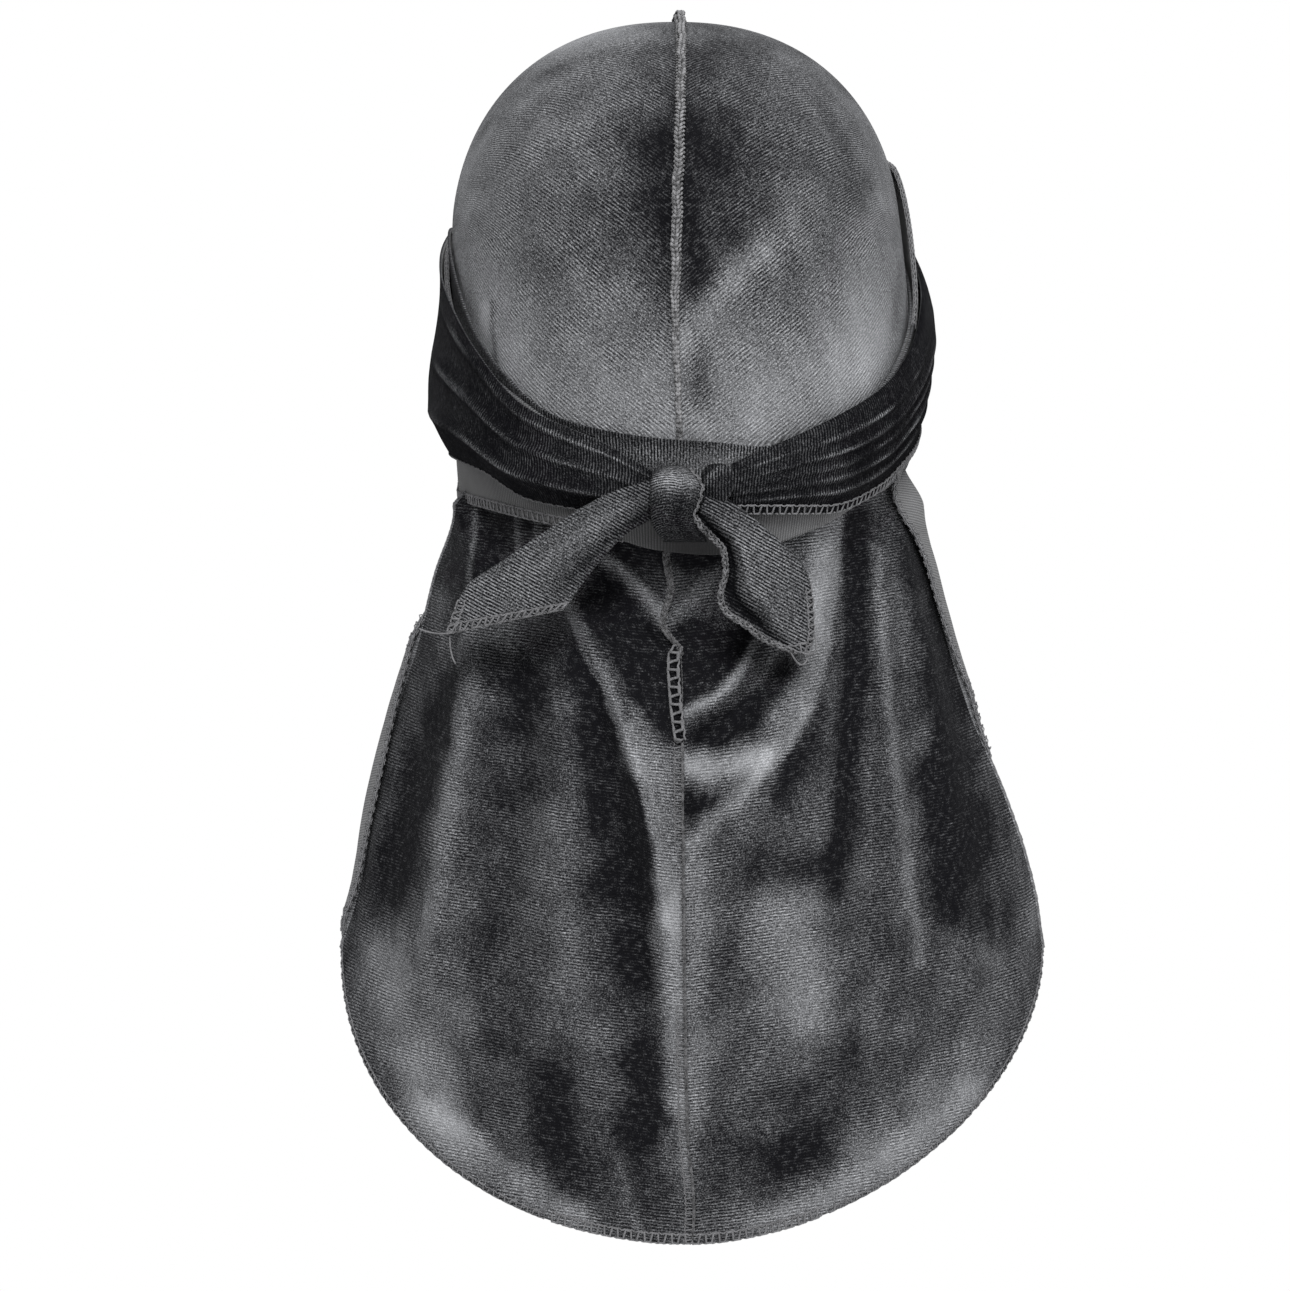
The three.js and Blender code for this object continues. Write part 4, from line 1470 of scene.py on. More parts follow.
# ---- Seams and hems ----------------------------------------------------------------------
@dataclass(frozen=True)
class Overlock:
    """An overlocked edge: rungs of thread across the hem, with a chain on each side of it."""

    pitch: float = 2.15
    width: float = 2.8
    thread: float = 0.32
    stand: float = 0.25
    swing: float = 0.35
    slant: float = 0.0

    def sew(self, edge: Edge, wall: float) -> list[Surface]:
        """Stitches along an edge.

        Args:
            edge: The edge of the cloth's outside.
            wall: Thickness of the cloth.

        Returns:
            The threads.
        """
        line = edge.at(self.pitch / 10)
        count = len(line.points)
        step = np.arange(count) / 10 * math.pi
        ladder = np.tanh(6.0 * np.sin(step))
        over = mix(0.1, -self.width, 0.5 - 0.5 * ladder)[:, None]
        lie = (self.stand + 0.12 * np.cos(2 * step))[:, None]
        forward = unit(np.gradient(line.points, axis=0))
        front = line.points + line.off * over + line.out * lie + forward * (self.slant * ladder)[:, None]
        under = line.points + line.off * over - line.out * (wall + lie)
        rim = line.off * (0.15 + 0.3 * self.swing * np.cos(2 * step))[:, None]
        cord = line.points + rim + line.out * (self.swing * np.sin(2 * step) - wall / 2)[:, None]
        inner = line.off * (-self.width - 0.2 * np.cos(2 * step))[:, None]
        chain = line.points + inner + line.out * (self.stand + 0.1 + 0.15 * np.sin(2 * step))[:, None]
        return [
            tube(front, line.out, self.thread),
            tube(under, line.out, self.thread),
            tube(cord, line.out, self.thread * 1.25),
            tube(chain, line.out, self.thread * 0.8),
        ]


@dataclass
class SeamRidge:
    """A seam allowance that stands up along the midline under crocheted stitches of thick thread."""

    width: Track
    height: Track
    lean: float
    foot: float
    pitch: float = 1.45
    thread: float = 0.42
    finer: int = 8

    def sew(self, line: np.ndarray, outward: np.ndarray) -> Surface:
        """Makes the ridge.

        Args:
            line: The seam's line on the cloth.
            outward: Direction out of the cloth at its points.

        Returns:
            The ridge with its stitches.
        """
        edge = Edge(line, np.tile([1.0, 0, 0], (len(line), 1)), outward).at(self.pitch / self.finer)
        count = len(edge.points)
        share = np.linspace(0, 1, count)
        height, width = self.height(share), self.width(share)
        length = along(edge.points)
        sway = np.sin(3 * math.pi * share + 0.4) + 0.35 * np.sin(length / 2.7) + 0.2 * np.sin(length / 1.1)
        lean = self.lean * sway

        def at(which: np.ndarray, aside: np.ndarray, up: np.ndarray) -> np.ndarray:
            """Points of the ridge: where along it, and sideways and up as shares of its size."""
            x = (aside * width[which] + lean[which] * up)[:, None] * [1.0, 0, 0]
            return edge.points[which] + x + edge.out[which] * (self.foot + up * height[which])[:, None]

        every = np.arange(count)
        one = np.ones(count)
        core = [(-0.3, 0.0), (-0.36, 0.5), (-0.25, 0.8), (0.0, 0.88), (0.25, 0.8), (0.36, 0.5), (0.3, 0.0)]
        rings = np.stack([at(every, a * one, b * one) for a, b in core], axis=1)
        down = np.tile(length[:, None], (1, len(core)))
        places = np.stack([np.arange(7.0) + 0 * down, down], -1)
        parts = [Cloth(rings, places, np.zeros(rings.shape[:2]), 0.3).solid()]
        long_leg, short_leg = np.arange(13), np.arange(11)
        for start in range(0, count - 14, self.finer):
            for side in (-1, 1):
                leg = start + long_leg
                t = long_leg / 12
                rise = 0.78 + 0.26 * np.sin(math.pi * (0.1 + 0.75 * t))
                plump = self.thread * (0.35 + 0.95 * np.sin(math.pi * t) ** 1.5)
                parts.append(tube(at(leg, side * mix(0.5, 0.04, t), rise), edge.out[leg], plump))
                leg = start + short_leg
                t = short_leg / 10
                bow = 0.42 + 0.12 * np.sin(math.pi * t)
                plump = self.thread * (0.4 + 0.9 * np.sin(math.pi * t) ** 1.5)
                parts.append(tube(at(leg, side * bow, mix(0.1, 0.74, t)), edge.out[leg], plump))
        return joined(parts)


@dataclass
class SeamsAndHems:
    """All stitching: the centre seam's two ridges and the overlocked edges."""

    hem: Overlock = field(default_factory=Overlock)
    side_hem: Overlock = field(default_factory=lambda: Overlock(2.0, 1.5, 0.22, 0.1, 0.12))
    cord_hem: Overlock = field(default_factory=lambda: Overlock(1.7, 1.0, 0.32, 0.2, 0.35))
    flap_hem: Overlock = field(default_factory=lambda: Overlock(2.9, 3.0, 0.46, 0.2, 0.15, 0.8))
    flat_seam: Overlock = field(default_factory=lambda: Overlock(1.7, 2.6, 0.2, 0.2, 0.15))
    fine_hem: Overlock = field(default_factory=lambda: Overlock(2.0, 0.6, 0.16, 0.08, 0.1))
    upper_hem: Overlock = field(default_factory=lambda: Overlock(2.0, 1.4, 0.2, 0.15, 0.15))
    panel_wall: float = 1.1
    strap_wall: float = 0.8
    allowance: float = 3.7
    open_stitches: float = 44
    head_centre: float = -77
    ridge_tilt: float = -66
    ridge_end: float = -145
    thick_levels: tuple[float, float] = (-176, -212)
    low_start: float = -207
    flap_levels: tuple[float, float] = (-206, -238)
    flat_start: float = -237

    def centre(self, panel: Cloth, finishes: Wardrobe) -> None:
        """Sews the ridge over the crown and the flatter seam down the cape.

        Args:
            panel: The left panel, whose first column is the seam.
            finishes: The durag's finishes.
        """
        line = panel.points[:, 0].copy()
        forward = np.gradient(line, axis=0)
        outward = unit(np.stack([0 * forward[:, 0], -forward[:, 2], forward[:, 1]], -1))
        level, behind = line[:, 2], line[:, 1] > 0
        tilt = np.degrees(np.arctan2(line[:, 1], level - self.head_centre))
        crown = (tilt > self.ridge_tilt) & (level > self.ridge_end)
        narrowing = Track([(0, 1.4), (0.03, 2.4), (0.78, 2.3), (0.88, 1.2), (1, 0.9)])
        lowering = Track([(0, 0.5), (0.03, 3.1), (0.78, 3.0), (0.88, 0.9), (1, 0.3)])
        ridge = SeamRidge(narrowing, lowering, 0.7, 0.2)
        piece = ridge.sew(line[crown], outward[crown]).place(
            "crown_seam_ridge", [finishes.ridge_thread, finishes.ridge_thread], ["crown_seam"]
        )
        under_knot = (level < self.thick_levels[0]) & (level > self.thick_levels[1]) & behind
        cape = (level < self.low_start) & behind
        thick = SeamRidge(Track([(0, 1.7), (1, 1.7)]), Track([(0, 1.2), (1, 1.2)]), 0.5, 0.1, thread=0.28)
        low = SeamRidge(Track([(0, 0.6), (1, 0.6)]), Track([(0, 0.4), (1, 0.4)]), 0.0, 0.1, thread=0.17)
        ridges = [thick.sew(line[under_knot], outward[under_knot]), low.sew(line[cape], outward[cape])]
        piece = joined(ridges).place(
            "cape_seam_ridge", [finishes.seam_chain, finishes.seam_chain], ["cape_seam"]
        )
        lying = (level < self.flap_levels[0]) & (level > self.flap_levels[1]) & behind
        flap = joined(self._flap(line, outward, lying))
        flap.place("cape_seam_flap", [finishes.thread, finishes.strap_velvet], [])
        aside = unit(outward * 0 - [1.0, 0, 0])
        flat = Edge(line, aside, outward).part((level < self.flat_start) & behind)
        stitches = joined(self.flat_seam.sew(flat, 0.3))
        stitches.place("cape_seam_stitches", [finishes.thread], [])

    def _flap(self, line: np.ndarray, outward: np.ndarray, keep: np.ndarray) -> list[Surface]:
        """The stretch where the seam allowance lies over to the left, with its overlocked edge.

        Args:
            line: The seam's line on the cloth.
            outward: Direction out of the cloth at its points.
            keep: Which points belong to the stretch.

        Returns:
            The allowance and its stitches.
        """
        foot, out = line[keep], outward[keep]
        share = np.linspace(0, 1, len(foot))
        reach = self.allowance * Track([(0, 0.2), (0.1, 0.9), (0.3, 1), (0.6, 0.9), (1, 0.5)])(share)
        across = np.linspace(0, 1, 8)
        aside = np.array([1.0, 0, 0]) * (reach[:, None] * across)[..., None]
        lift = out[:, None] * (0.5 + 0.7 * np.sin(math.pi * across * 0.8))[None, :, None]
        points = foot[:, None] + aside + lift
        wide = across * self.allowance + 0 * reach[:, None]
        places = np.stack([wide, along(foot)[:, None] + 0 * aside[..., 0]], -1)
        cloth = Cloth(points, places, np.zeros(points.shape[:2]), -0.4)
        solid = cloth.solid()
        solid.facing[:] = True
        solid.nap[:] = -0.3
        return [solid, *self.flap_hem.sew(cloth.edge("last"), 0.4)]

    @staticmethod
    def _thread(name: str, threads: list[Surface], finishes: Wardrobe) -> None:
        """Makes one piece of some threads."""
        piece = joined(threads).place(name, [finishes.thread], [])

    def _panel_hems(self, panel: Cloth, name: str, finishes: Wardrobe) -> None:
        """Sews a panel's side, bottom and front hems.

        Args:
            panel: The panel's cloth.
            name: Its side, for the names of the pieces.
            finishes: The durag's finishes.
        """
        side = panel.edge("last")
        side = side.part((side.points[:, 2] < -150) & (side.points[:, 1] > 0))
        threads = self.side_hem.sew(side, self.panel_wall)
        bottom = panel.edge("bottom")
        middle = np.abs(bottom.points[:, 0]) < self.open_stitches
        threads += self.hem.sew(bottom.part(middle), self.panel_wall)
        threads += self.side_hem.sew(bottom.part(~middle), self.panel_wall)
        self._thread(f"cape_hem_{name}", threads, finishes)
        self._thread(f"front_hem_{name}", self.side_hem.sew(panel.edge("top"), self.panel_wall), finishes)

    @staticmethod
    def _loose(start: tuple, via: tuple, end: tuple) -> Surface:
        """A loose thread from one point to another, bent by a third."""
        path = bezier((start, via, end), 16)
        return tube(path, np.tile([0.0, 1.0, 0.1], (len(path), 1)), 0.26)

    def _tail_hems(self, left: Cloth, right: Cloth, loop: Cloth, finishes: Wardrobe) -> None:
        """Sews the tails' ends and the corded edge that runs from the knot down the right tail.

        Args:
            left: The left tail.
            right: The right tail.
            loop: The knot's loop.
            finishes: The durag's finishes.
        """
        threads = self.hem.sew(left.edge("bottom"), 0.9)
        turned = left.edge("first")
        share = np.linspace(0, 1, len(turned.points))
        threads += self.hem.sew(turned.part(share > 0.86), 0.9)
        cords = self.cord_hem.sew(right.edge("last"), 0.9)
        threads += self.hem.sew(right.edge("bottom"), 0.9)
        threads += self.hem.sew(right.edge("first").part(share > 0.66), 0.9)
        drawn = loop.edge("first")
        level = np.linspace(0, 1, len(drawn.points))
        cords += self.cord_hem.sew(drawn.part((level > 0.06) & (level < 0.7)), 1.4)
        threads += [self._loose(*places) for places in LOOSE_THREADS]
        self._thread("tail_hems", threads, finishes)
        joined(cords).place("tail_cord", [finishes.cord_thread], [])

    def build(
        self, panels: list[Cloth], straps: list[Cloth], tails: list[Cloth], loop: Cloth, finishes: Wardrobe
    ) -> None:
        """Sews everything.

        Args:
            panels: The left and right panel.
            straps: The left and right strap.
            tails: The left and right tail.
            loop: The knot's loop.
            finishes: The durag's finishes.
        """
        self.centre(panels[0], finishes)
        for panel, name in zip(panels, ("left", "right")):
            self._panel_hems(panel, name, finishes)
        left, right = (strap.edge("last") for strap in straps)
        share = np.linspace(0, 1, len(right.points))
        first = right.part((share > 0.29) & (share < 0.6))
        last = right.part(share > 0.64)
        threads = self.hem.sew(first, self.strap_wall) + self.hem.sew(last, self.strap_wall)
        self._thread("strap_hem_right", threads, finishes)
        share = np.linspace(0, 1, len(left.points))
        threads = self.fine_hem.sew(left.part(share > 0.66), self.strap_wall)
        for strap, low, high in ((straps[0], 0.4, 0.5), (straps[1], 0.41, 0.52)):
            top = strap.edge("first")
            share = np.linspace(0, 1, len(top.points))
            threads += self.upper_hem.sew(top.part((share > low) & (share < high)), self.strap_wall)
        self._thread("strap_hem_left", threads, finishes)
        self._tail_hems(*tails, loop, finishes)


# ---- Studio ------------------------------------------------------------------------------
@dataclass
class Studio:
    """Pale floor, soft lights and the camera behind the head."""

    camera_at: tuple[float, float, float] = (0.0124, 1.4, -0.207)
    lens: float = 116.5
    floor_level: float = -0.75
    floor_size: float = 3.0

    def build(self) -> None:
        """Makes floor, lights, world and camera."""
        self._floor()
        self._world()
        self._light("key", (0.05, 2.05, 1.35), 1.0, 200)
        self._light("fill", (-1.7, 1.5, 0.3), 1.2, 45)
        self._light("top", (0.0, -0.3, 1.6), 1.0, 40)
        self._camera()

    def _floor(self) -> None:
        """A pale round floor far below."""
        turn = np.linspace(0, 2 * math.pi, 96, endpoint=False)
        rim = np.stack([np.cos(turn), np.sin(turn), 0 * turn], -1) * self.floor_size / 2
        mesh = bpy.data.meshes.new("floor")
        mesh.from_pydata(rim.tolist(), [], [list(range(len(turn)))])
        floor = bpy.data.objects.new("floor", mesh)
        floor.location.z = self.floor_level
        bpy.context.scene.collection.objects.link(floor)
        shader = Shader("floor_paper")
        grain = shader.node("ShaderNodeTexNoise", {}, {"Scale": 60.0, "Detail": 4.0})
        colour = shader.blend(Value(shader, grain.outputs[0]), (0.86, 0.86, 0.86), (0.9, 0.9, 0.9))
        shader.dress({}, colour, 0.9, Value(shader, grain.outputs[0]), 0.0002)
        mesh.materials.append(shader.material)

    def _world(self) -> None:
        """An even pale surround."""
        world = bpy.data.worlds.new("surround")
        world.use_nodes = True
        world.node_tree.nodes["Background"].inputs[0].default_value = (1, 1, 1, 1)
        world.node_tree.nodes["Background"].inputs[1].default_value = 1.0
        bpy.context.scene.world = world
        bpy.context.scene.view_settings.view_transform = "Standard"

    def _light(self, name: str, at: tuple[float, float, float], size: float, power: float) -> None:
        """A soft square light that points at the middle of the durag.

        Args:
            name: Its name.
            at: Its place in metres.
            size: Its side in metres.
            power: Its power in watts.
        """
        data = bpy.data.lights.new(name, "AREA")
        data.size, data.energy = size, power
        light = bpy.data.objects.new(name, data)
        light.location = at
        to = np.array([0.0, 0.05, -0.19]) - np.array(at)
        tip = math.atan2(math.hypot(to[0], to[1]), -to[2])
        light.rotation_euler = (tip, 0, math.atan2(to[0], -to[1]) + math.pi)
        bpy.context.scene.collection.objects.link(light)

    def _camera(self) -> None:
        """The camera, level and straight behind."""
        data = bpy.data.cameras.new("camera")
        data.lens, data.sensor_width, data.clip_start = self.lens, 36.0, 0.01
        camera = bpy.data.objects.new("camera", data)
        camera.location = self.camera_at
        camera.rotation_euler = (math.pi / 2, 0, math.pi)
        bpy.context.scene.collection.objects.link(camera)
        bpy.context.scene.camera = camera


# ---- The durag ---------------------------------------------------------------------------
LEFT_FOLDS = [
    Fold((66, -178), (74, -244), (83, -318), 6, 5, 1.6),
    Fold((86, -240), (95, -275), (100, -312), 7, -2.5),
    Fold((50, -176), (53, -240), (58, -300), 9, -5),
    Fold((36, -215), (39, -260), (41, -300), 8, 3),
    Fold((36, -190), (15, -236), (1, -312), 5, 8, 1.4),
    Fold((27, -214), (21, -262), (14, -322), 8, -5),
    Fold((0, -188), (9, -204), (24, -184), 13, -7),
    Fold((27, -178), (18, -196), (6, -205), 2.2, 2.2, 1.6),
    Fold((76, -78), (69, -100), (60, -117), 2.6, -1.6, 1.6, -0.2),
]
RIGHT_FOLDS = [
    Fold((42, -182), (39, -226), (0, -262), 7, 6, 1.6),
    Fold((26, -200), (20, -222), (0, -230), 3.6, 4, 1.6),
    Fold((35, -196), (25, -228), (3, -240), 5, -4),
    Fold((53, -176), (56, -235), (58, -296), 8, -5),
    Fold((61, -176), (65, -235), (69, -300), 5, 4, 1.6),
    Fold((74, -182), (86, -240), (92, -318), 7, 3.5),
    Fold((0, -188), (9, -200), (24, -184), 13, -7),
    Fold((12, -180), (6, -192), (-3, -199), 2.2, 1.8, 1.6),
    Fold((72, -80), (70, -92), (69, -104), 2.6, -1.6, 1.6, -0.2),
]
LEFT_CURL = Track([(-196, 0), (-206, 5), (-228, 8.5), (-256, 11.5), (-280, 9), (-296, 4.5), (-303, 0)])
RIGHT_CURL = Track([(-130, 0), (-138, 12), (-160, 14), (-180, 10.5), (-195, 9), (-220, 5.5), (-246, 0)])
# Patches of painted light and shade mixed with the pile's own lie: the lighter crown edges and top-left rim
# are painted sheen, the dark crown middle is partly painted shade, and the cape's spots are painted light and
# shade of its folds.
PILE_AND_LIGHT_PATCHES = [
    PileAndLightPatch(-1, -51, 28, 52, -0.27),
    PileAndLightPatch(12, -46, 17, 46, -0.03),
    PileAndLightPatch(32, -8, 24, 10, 0.4),
    PileAndLightPatch(0, -142, 60, 16, 0.1),
    PileAndLightPatch(58, -106, 12, 30, 0.12),
    PileAndLightPatch(-56, -106, 12, 30, 0.12),
    PileAndLightPatch(1, -88, 13, 24, -0.16),
    PileAndLightPatch(0, -128, 64, 24, 0.27),
    PileAndLightPatch(74, -62, 16, 40, 0.26),
    PileAndLightPatch(60, -118, 15, 22, 0.16),
    PileAndLightPatch(-60, -118, 20, 26, 0.3),
    PileAndLightPatch(57, -202, 14, 9, 0.24),
    PileAndLightPatch(75, -203, 8, 12, 0.1),
    PileAndLightPatch(-4, -242, 7, 7, 0.22),
    PileAndLightPatch(-16, -258, 14, 7, 0.13),
    PileAndLightPatch(-36, -276, 12, 8, -0.2),
    PileAndLightPatch(-19, -279, 8, 8, -0.1),
    PileAndLightPatch(28, -277, 8, 11, -0.14),
    PileAndLightPatch(12, -316, 6, 10, 0.14),
    PileAndLightPatch(59, -353, 9, 9, -0.12),
    PileAndLightPatch(-35, -352, 12, 9, -0.15),
    PileAndLightPatch(-50, -334, 10, 10, -0.15),
    PileAndLightPatch(-97, -315, 9, 10, -0.1),
    PileAndLightPatch(-19, -371, 9, 7, 0.12),
    PileAndLightPatch(106, -315, 9, 10, -0.12),
    PileAndLightPatch(91, -296, 8, 9, -0.12),
    PileAndLightPatch(75, -325, 10, 16, 0.12),
    PileAndLightPatch(-20, -54, 12, 32, -0.1),
    PileAndLightPatch(36, -46, 15, 30, 0.06),
    PileAndLightPatch(-52, -56, 12, 22, -0.1),
    PileAndLightPatch(-28, -86, 18, 12, 0.11),
    PileAndLightPatch(60, -104, 10, 14, 0.12),
    PileAndLightPatch(76, -104, 10, 16, 0.16),
    PileAndLightPatch(-82, -104, 10, 16, 0.2),
    PileAndLightPatch(58, -124, 12, 12, 0.14),
    PileAndLightPatch(-60, -125, 16, 11, 0.14),
    PileAndLightPatch(-4, -126, 8, 9, -0.18),
    PileAndLightPatch(-72, -62, 16, 40, 0.24),
]
# Streaks of painted light: positive ones paint highlights on crests, negative ones paint shade in creases and
# hollows.
LEFT_SHADING_STROKES = [
    ShadingStroke((71, -205), (80, -243), (98, -296), 9, 6, -0.28),
    ShadingStroke((71, -204), (71.5, -240), (84, -300), 1.8, 5.5, 0.26),
    ShadingStroke((60, -158), (64, -172), (66, -186), 16, 14, -0.26),
    ShadingStroke((67.5, -160), (68.3, -176), (70, -197), 1.2, 1.2, 0.34),
    ShadingStroke((53, -166), (53.3, -172), (53.5, -178), 1.2, 1.2, 0.3),
    ShadingStroke((47, -168), (47.2, -171), (47.5, -174), 1, 1, 0.3),
    ShadingStroke((97, -300), (93, -330), (78, -355), 9, 10, 0.36),
    ShadingStroke((78, -355), (62, -372), (34, -386), 9, 4.5, 0.38),
    ShadingStroke((42, -262), (40, -290), (30, -330), 5, 5, 0.1),
    ShadingStroke((48, -203), (47, -225), (46, -250), 10, 8, -0.13),
    ShadingStroke((56, -205), (58, -260), (60, -340), 7, 7, -0.08),
    ShadingStroke((27, -216), (6.5, -262), (11.5, -302), 12, 0.9, -0.27),
    ShadingStroke((12, -306), (11, -330), (9, -356), 8, 3.5, -0.24),
    ShadingStroke((43, -344), (42, -360), (37, -374), 9, 9, -0.24),
    ShadingStroke((18, -340), (14, -360), (9, -380), 7, 6, -0.18),
    ShadingStroke((21, -366), (19, -378), (15, -390), 1.2, 1.2, 0.2),
    ShadingStroke((16, -232), (10, -252), (6, -292), 2.6, 8, 0.34),
    ShadingStroke((5, -290), (3, -320), (1, -350), 4, 7, 0.34),
    ShadingStroke((1, -352), (-1, -362), (-3, -378), 2.5, 6, 0.34),
    ShadingStroke((37.5, -196), (22, -228), (17, -246), 0.7, 3.6, 0.44),
    ShadingStroke((24, -194), (15, -208), (7, -227), 6, 8, -0.5),
    ShadingStroke((14, -206), (12, -220), (9, -233), 7, 6, -0.24),
    ShadingStroke((31, -200), (28, -222), (27, -262), 5, 4, -0.18),
    ShadingStroke((62, -97), (61.5, -108), (60, -119), 0.8, 0.8, -0.36),
    ShadingStroke((64.8, -97), (64.3, -108), (62.5, -119), 1.7, 1.7, 0.24),
    ShadingStroke((8, -206), (7, -214), (6, -222), 5, 5, -0.26),
    ShadingStroke((1, -209), (3, -222), (2, -236), 2.4, 1.5, -0.5),
    ShadingStroke((27, -178), (14.5, -186), (6, -199), 2.4, 2.2, 0.5),
    ShadingStroke((0, -178), (12, -180), (34, -174), 6, 7, -0.34),
]
# Streaks of painted light: positive ones paint highlights on crests, negative ones paint shade in creases and
# hollows.
RIGHT_SHADING_STROKES = [
    ShadingStroke((0.5, -111), (10, -96), (24, -84), 4.5, 4.5, 0.3),
    ShadingStroke((3, -108), (6, -118), (5, -130), 3, 3, -0.14),
    ShadingStroke((2, -70), (4, -84), (4, -98), 4, 4, -0.1),
    ShadingStroke((12.7, -180), (5, -188), (-3, -199), 2.2, 2.6, 0.2),
    ShadingStroke((4, -206), (9, -213), (21, -204), 6, 7, -0.34),
    ShadingStroke((0, -178), (12, -178), (26, -182), 5, 5, -0.34),
    ShadingStroke((22.7, -203.5), (18.2, -219.6), (-0.5, -228.3), 2.0, 1.1, 0.68),
    ShadingStroke((33, -214), (22, -232), (3, -237), 4, 4.5, -0.38),
    ShadingStroke((50, -164), (50, -222), (27, -247), 1.1, 8.5, 0.36),
    ShadingStroke((25, -241), (14, -247), (-1, -245), 4, 4.2, 0.46),
    ShadingStroke((40, -230), (34, -241), (28, -254), 8, 1.5, -0.24),
    ShadingStroke((39, -190), (35, -205), (29, -224), 6, 6, 0.2),
    ShadingStroke((26, -243), (18, -256), (2, -268), 2.4, 3.2, 0.3),
    ShadingStroke((2, -207), (5, -214), (3, -221), 8, 8, -0.3),
    ShadingStroke((0, -256), (3, -258), (6, -256), 3.0, 3.6, -0.3),
    ShadingStroke((2, -270), (3, -310), (3, -356), 5, 6, 0.24),
    ShadingStroke((34, -291), (36, -305), (38, -324), 10, 9, 0.34),
    ShadingStroke((45, -176), (43, -190), (40, -206), 4, 4, 0.24),
    ShadingStroke((24, -292), (26, -305), (26, -320), 6, 6, 0.14),
    ShadingStroke((55, -166), (56, -222), (47, -284), 5, 4, -0.28),
    ShadingStroke((62.8, -176), (66, -235), (75, -308), 1.5, 2.4, 0.24),
    ShadingStroke((76, -176), (83, -235), (100, -300), 9, 6.5, -0.28),
    ShadingStroke((80, -246), (83, -270), (85, -292), 7, 6, -0.3),
    ShadingStroke((98, -280), (101, -294), (102, -306), 5, 6, 0.14),
    ShadingStroke((101, -308), (99, -325), (93, -345), 10, 10, 0.12),
    ShadingStroke((90, -350), (74, -368), (26, -391), 8, 6, 0.38),
    ShadingStroke((76, -350), (66, -357), (58, -364), 8, 7, 0.2),
    ShadingStroke((13, -368), (27, -372), (40, -367), 8, 8, -0.22),
]
LEFT_STRAP_ROWS = [
    # turn, top, bottom, layer
    (125, -63, -98, 1), (108, -64.5, -112, 1), (90, -68, -128, 1), (50, -111, -148, 1), (25, -136, -158, 1),
    (6, -142, -159.6, 1), (-6, -143.4, -159.6, 2), (-15, -144.6, -162, 2), (-25, -139.5, -164, 2),
    (-50, -121, -157, 2), (-75, -91, -146, 2), (-95, -46, -128, 2), (-130, -38, -102, 2), (-172, -38, -60, 2),
    (-188, -38, -60, 3), (-215, -42, -90, 3), (-240, -60, -118, 3), (-270, -79, -142, 3),
    (-292, -93.5, -146, 3), (-310, -111.5, -151, 3), (-326, -131, -161, 3), (-345, -144.5, -165.5, 3),
    (-353.4, -152.5, -166, 3),
]
RIGHT_STRAP_ROWS = [
    (125, -63, -98, 1), (108, -71, -118, 1), (90, -84, -135, 1), (65, -107, -152.5, 1), (45, -127, -161, 1),
    (30, -139, -170.5, 1), (15, -151, -177, 1), (6, -160.4, -178.4, 1), (-6, -160.4, -177, 2),
    (-15, -152, -173.5, 2), (-30, -134.5, -168.4, 2), (-60, -108, -161, 2), (-90, -82, -157, 2),
    (-120, -60, -128, 2), (-150, -50, -98, 2), (-172, -60.8, -82, 2), (-188, -60.8, -82, 3),
    (-215, -46, -92, 3), (-240, -60, -114, 3), (-270, -82, -134.5, 3), (-289, -96, -143, 3),
    (-302, -111.5, -150, 3), (-313, -122.5, -158, 3), (-329, -134.5, -165, 3), (-351, -150, -165.5, 3),
]
LEFT_TAIL_UPPERS = [
    (10, 93, -155), (22, 93, -158.6), (31, 91.5, -163), (44.5, 88.5, -171.6), (58, 84, -180.7),
    (69, 80.5, -188.5), (75, 79, -203),
]
LEFT_TAIL_LOWERS = [
    (9.5, 93, -167), (18, 93.5, -172), (24.5, 93.5, -178.5), (29.5, 93, -184.5), (33.5, 91.5, -189.8),
    (36, 90.5, -193.5), (38, 90, -195.5),
]
RIGHT_TAIL_UPPERS = [
    (-8, 97, -158), (-14, 96, -161.5), (-21, 95, -166.7), (-28, 93.5, -172.5), (-33.5, 92, -177.5),
    (-37.5, 90.5, -182.5), (-39.5, 89.5, -188), (-40.3, 89, -195), (-40.6, 89, -202), (-39, 89, -209),
]
RIGHT_TAIL_LOWERS = [
    (-3.1, 98, -167), (-5, 98.5, -170), (-8.7, 99, -173.6), (-12.2, 99.5, -178), (-12.7, 100, -184),
    (-10.9, 100, -192), (-12.6, 99.5, -196.5), (-19.2, 98, -201), (-24.4, 96.5, -205), (-34, 94, -209),
]
LOOSE_THREADS = [
    ((73, 82, -203), (79, 83, -204), (84, 82, -201.5)),
    ((74, 82, -204), (74, 83, -210), (72, 82, -213)),
    ((-33, 96, -209), (-37, 98, -217), (-39, 93, -209)),
    ((-36, 95, -209), (-43, 96, -212), (-40.5, 92, -203)),
]


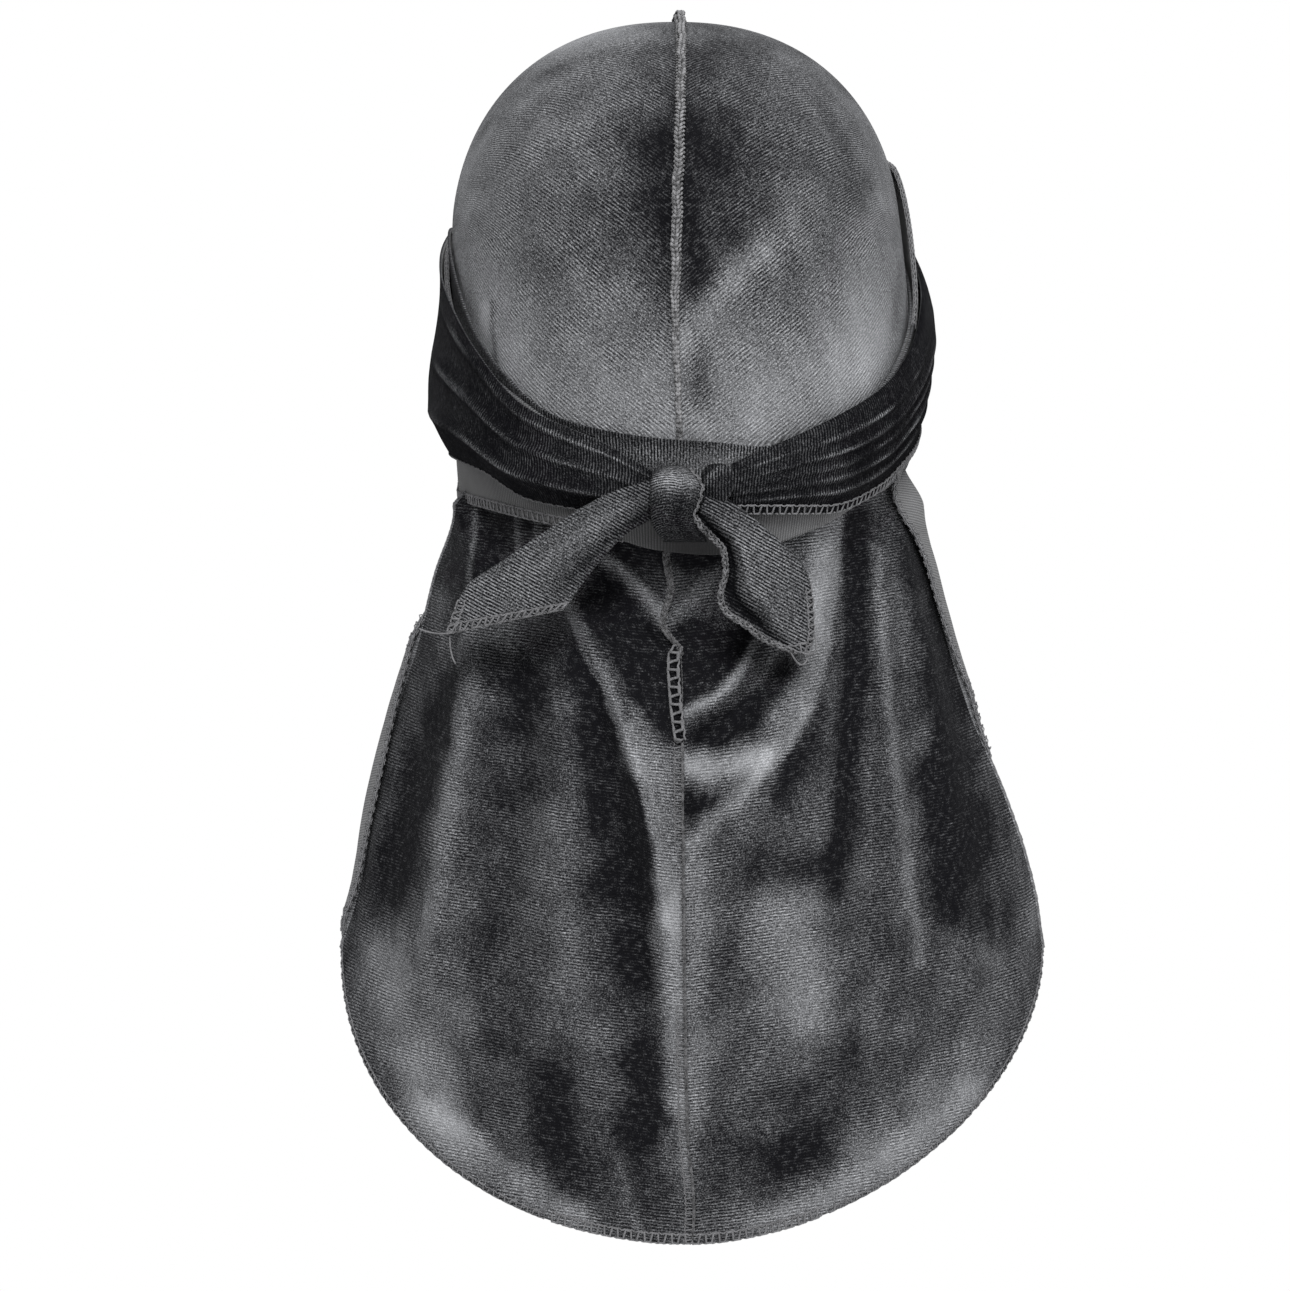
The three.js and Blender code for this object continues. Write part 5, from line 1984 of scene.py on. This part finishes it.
def main() -> None:
    """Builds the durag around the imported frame."""
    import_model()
    finishes = Wardrobe()
    head = HeadForm()
    left = Panel(
        Side.LEFT, head, LEFT_FOLDS, PILE_AND_LIGHT_PATCHES, LEFT_SHADING_STROKES, LEFT_CURL,
        curl_levels=(-303, -196), squareness=(2.15, 2.04), seed=11,
    )
    right = Panel(
        Side.RIGHT, head, RIGHT_FOLDS, PILE_AND_LIGHT_PATCHES, RIGHT_SHADING_STROKES, RIGHT_CURL,
        curl_levels=(-246, -130), squareness=(2.05, 1.8), seed=23, leaving=(-147, 15),
    )
    panels = [left.build(finishes), right.build(finishes)]
    pleats = [Pleat(0.12, 0.05, 1.6, 0.32), Pleat(0.42, 0.055, 2.2, 0.28), Pleat(0.74, 0.06, 3.2, 0.32)]
    fine_pleats = [
        Pleat(0.2, 0.03, 0.9, 0.38), Pleat(0.36, 0.035, 1.5, 0.46), Pleat(0.5, 0.03, 1.0, 0.4),
        Pleat(0.64, 0.035, 1.6, 0.46), Pleat(0.78, 0.04, 1.6, 0.36),
    ]
    straps = [
        Strap(Side.LEFT, head, LEFT_STRAP_ROWS, pleats, 6.3, 1.7, None, 0.1, 31).build(finishes),
        Strap(Side.RIGHT, head, RIGHT_STRAP_ROWS, fine_pleats, 4.0, 0.65, -172, 0.1, 37).build(finishes),
    ]
    tails = [
        Tail(
            Side.LEFT, LEFT_TAIL_UPPERS, LEFT_TAIL_LOWERS, [3, 5, 6, 6, 5, 3, 1],
            [Pleat(0.45, 0.16, 1.2, 0.1), Pleat(0.87, 0.2, 0.0, -0.26)],
            nap=0.38, flat=(0.045, 0.08), area=0.0017,
        ).build(finishes),
        Tail(
            Side.RIGHT, RIGHT_TAIL_UPPERS, RIGHT_TAIL_LOWERS, [0, 3, 4, 5, 6, 5, 4, 3, 2, 1],
            [Pleat(0.35, 0.2, 0.6, 0.06), Pleat(0.6, 0.1, 2.5, 0.14), Pleat(0.85, 0.11, -5.5, -0.55)],
            nap=0.33, flat=(0.035, 0.065), area=0.0015,
        ).build(finishes),
    ]
    loop = Knot().build(finishes)
    SeamsAndHems().build(panels, straps, tails, loop, finishes)
    Studio().build()
    log.info("sizes written")


if __name__ == "__main__":
    logging.basicConfig(level=logging.INFO, format="%(name)s: %(message)s")
    main()
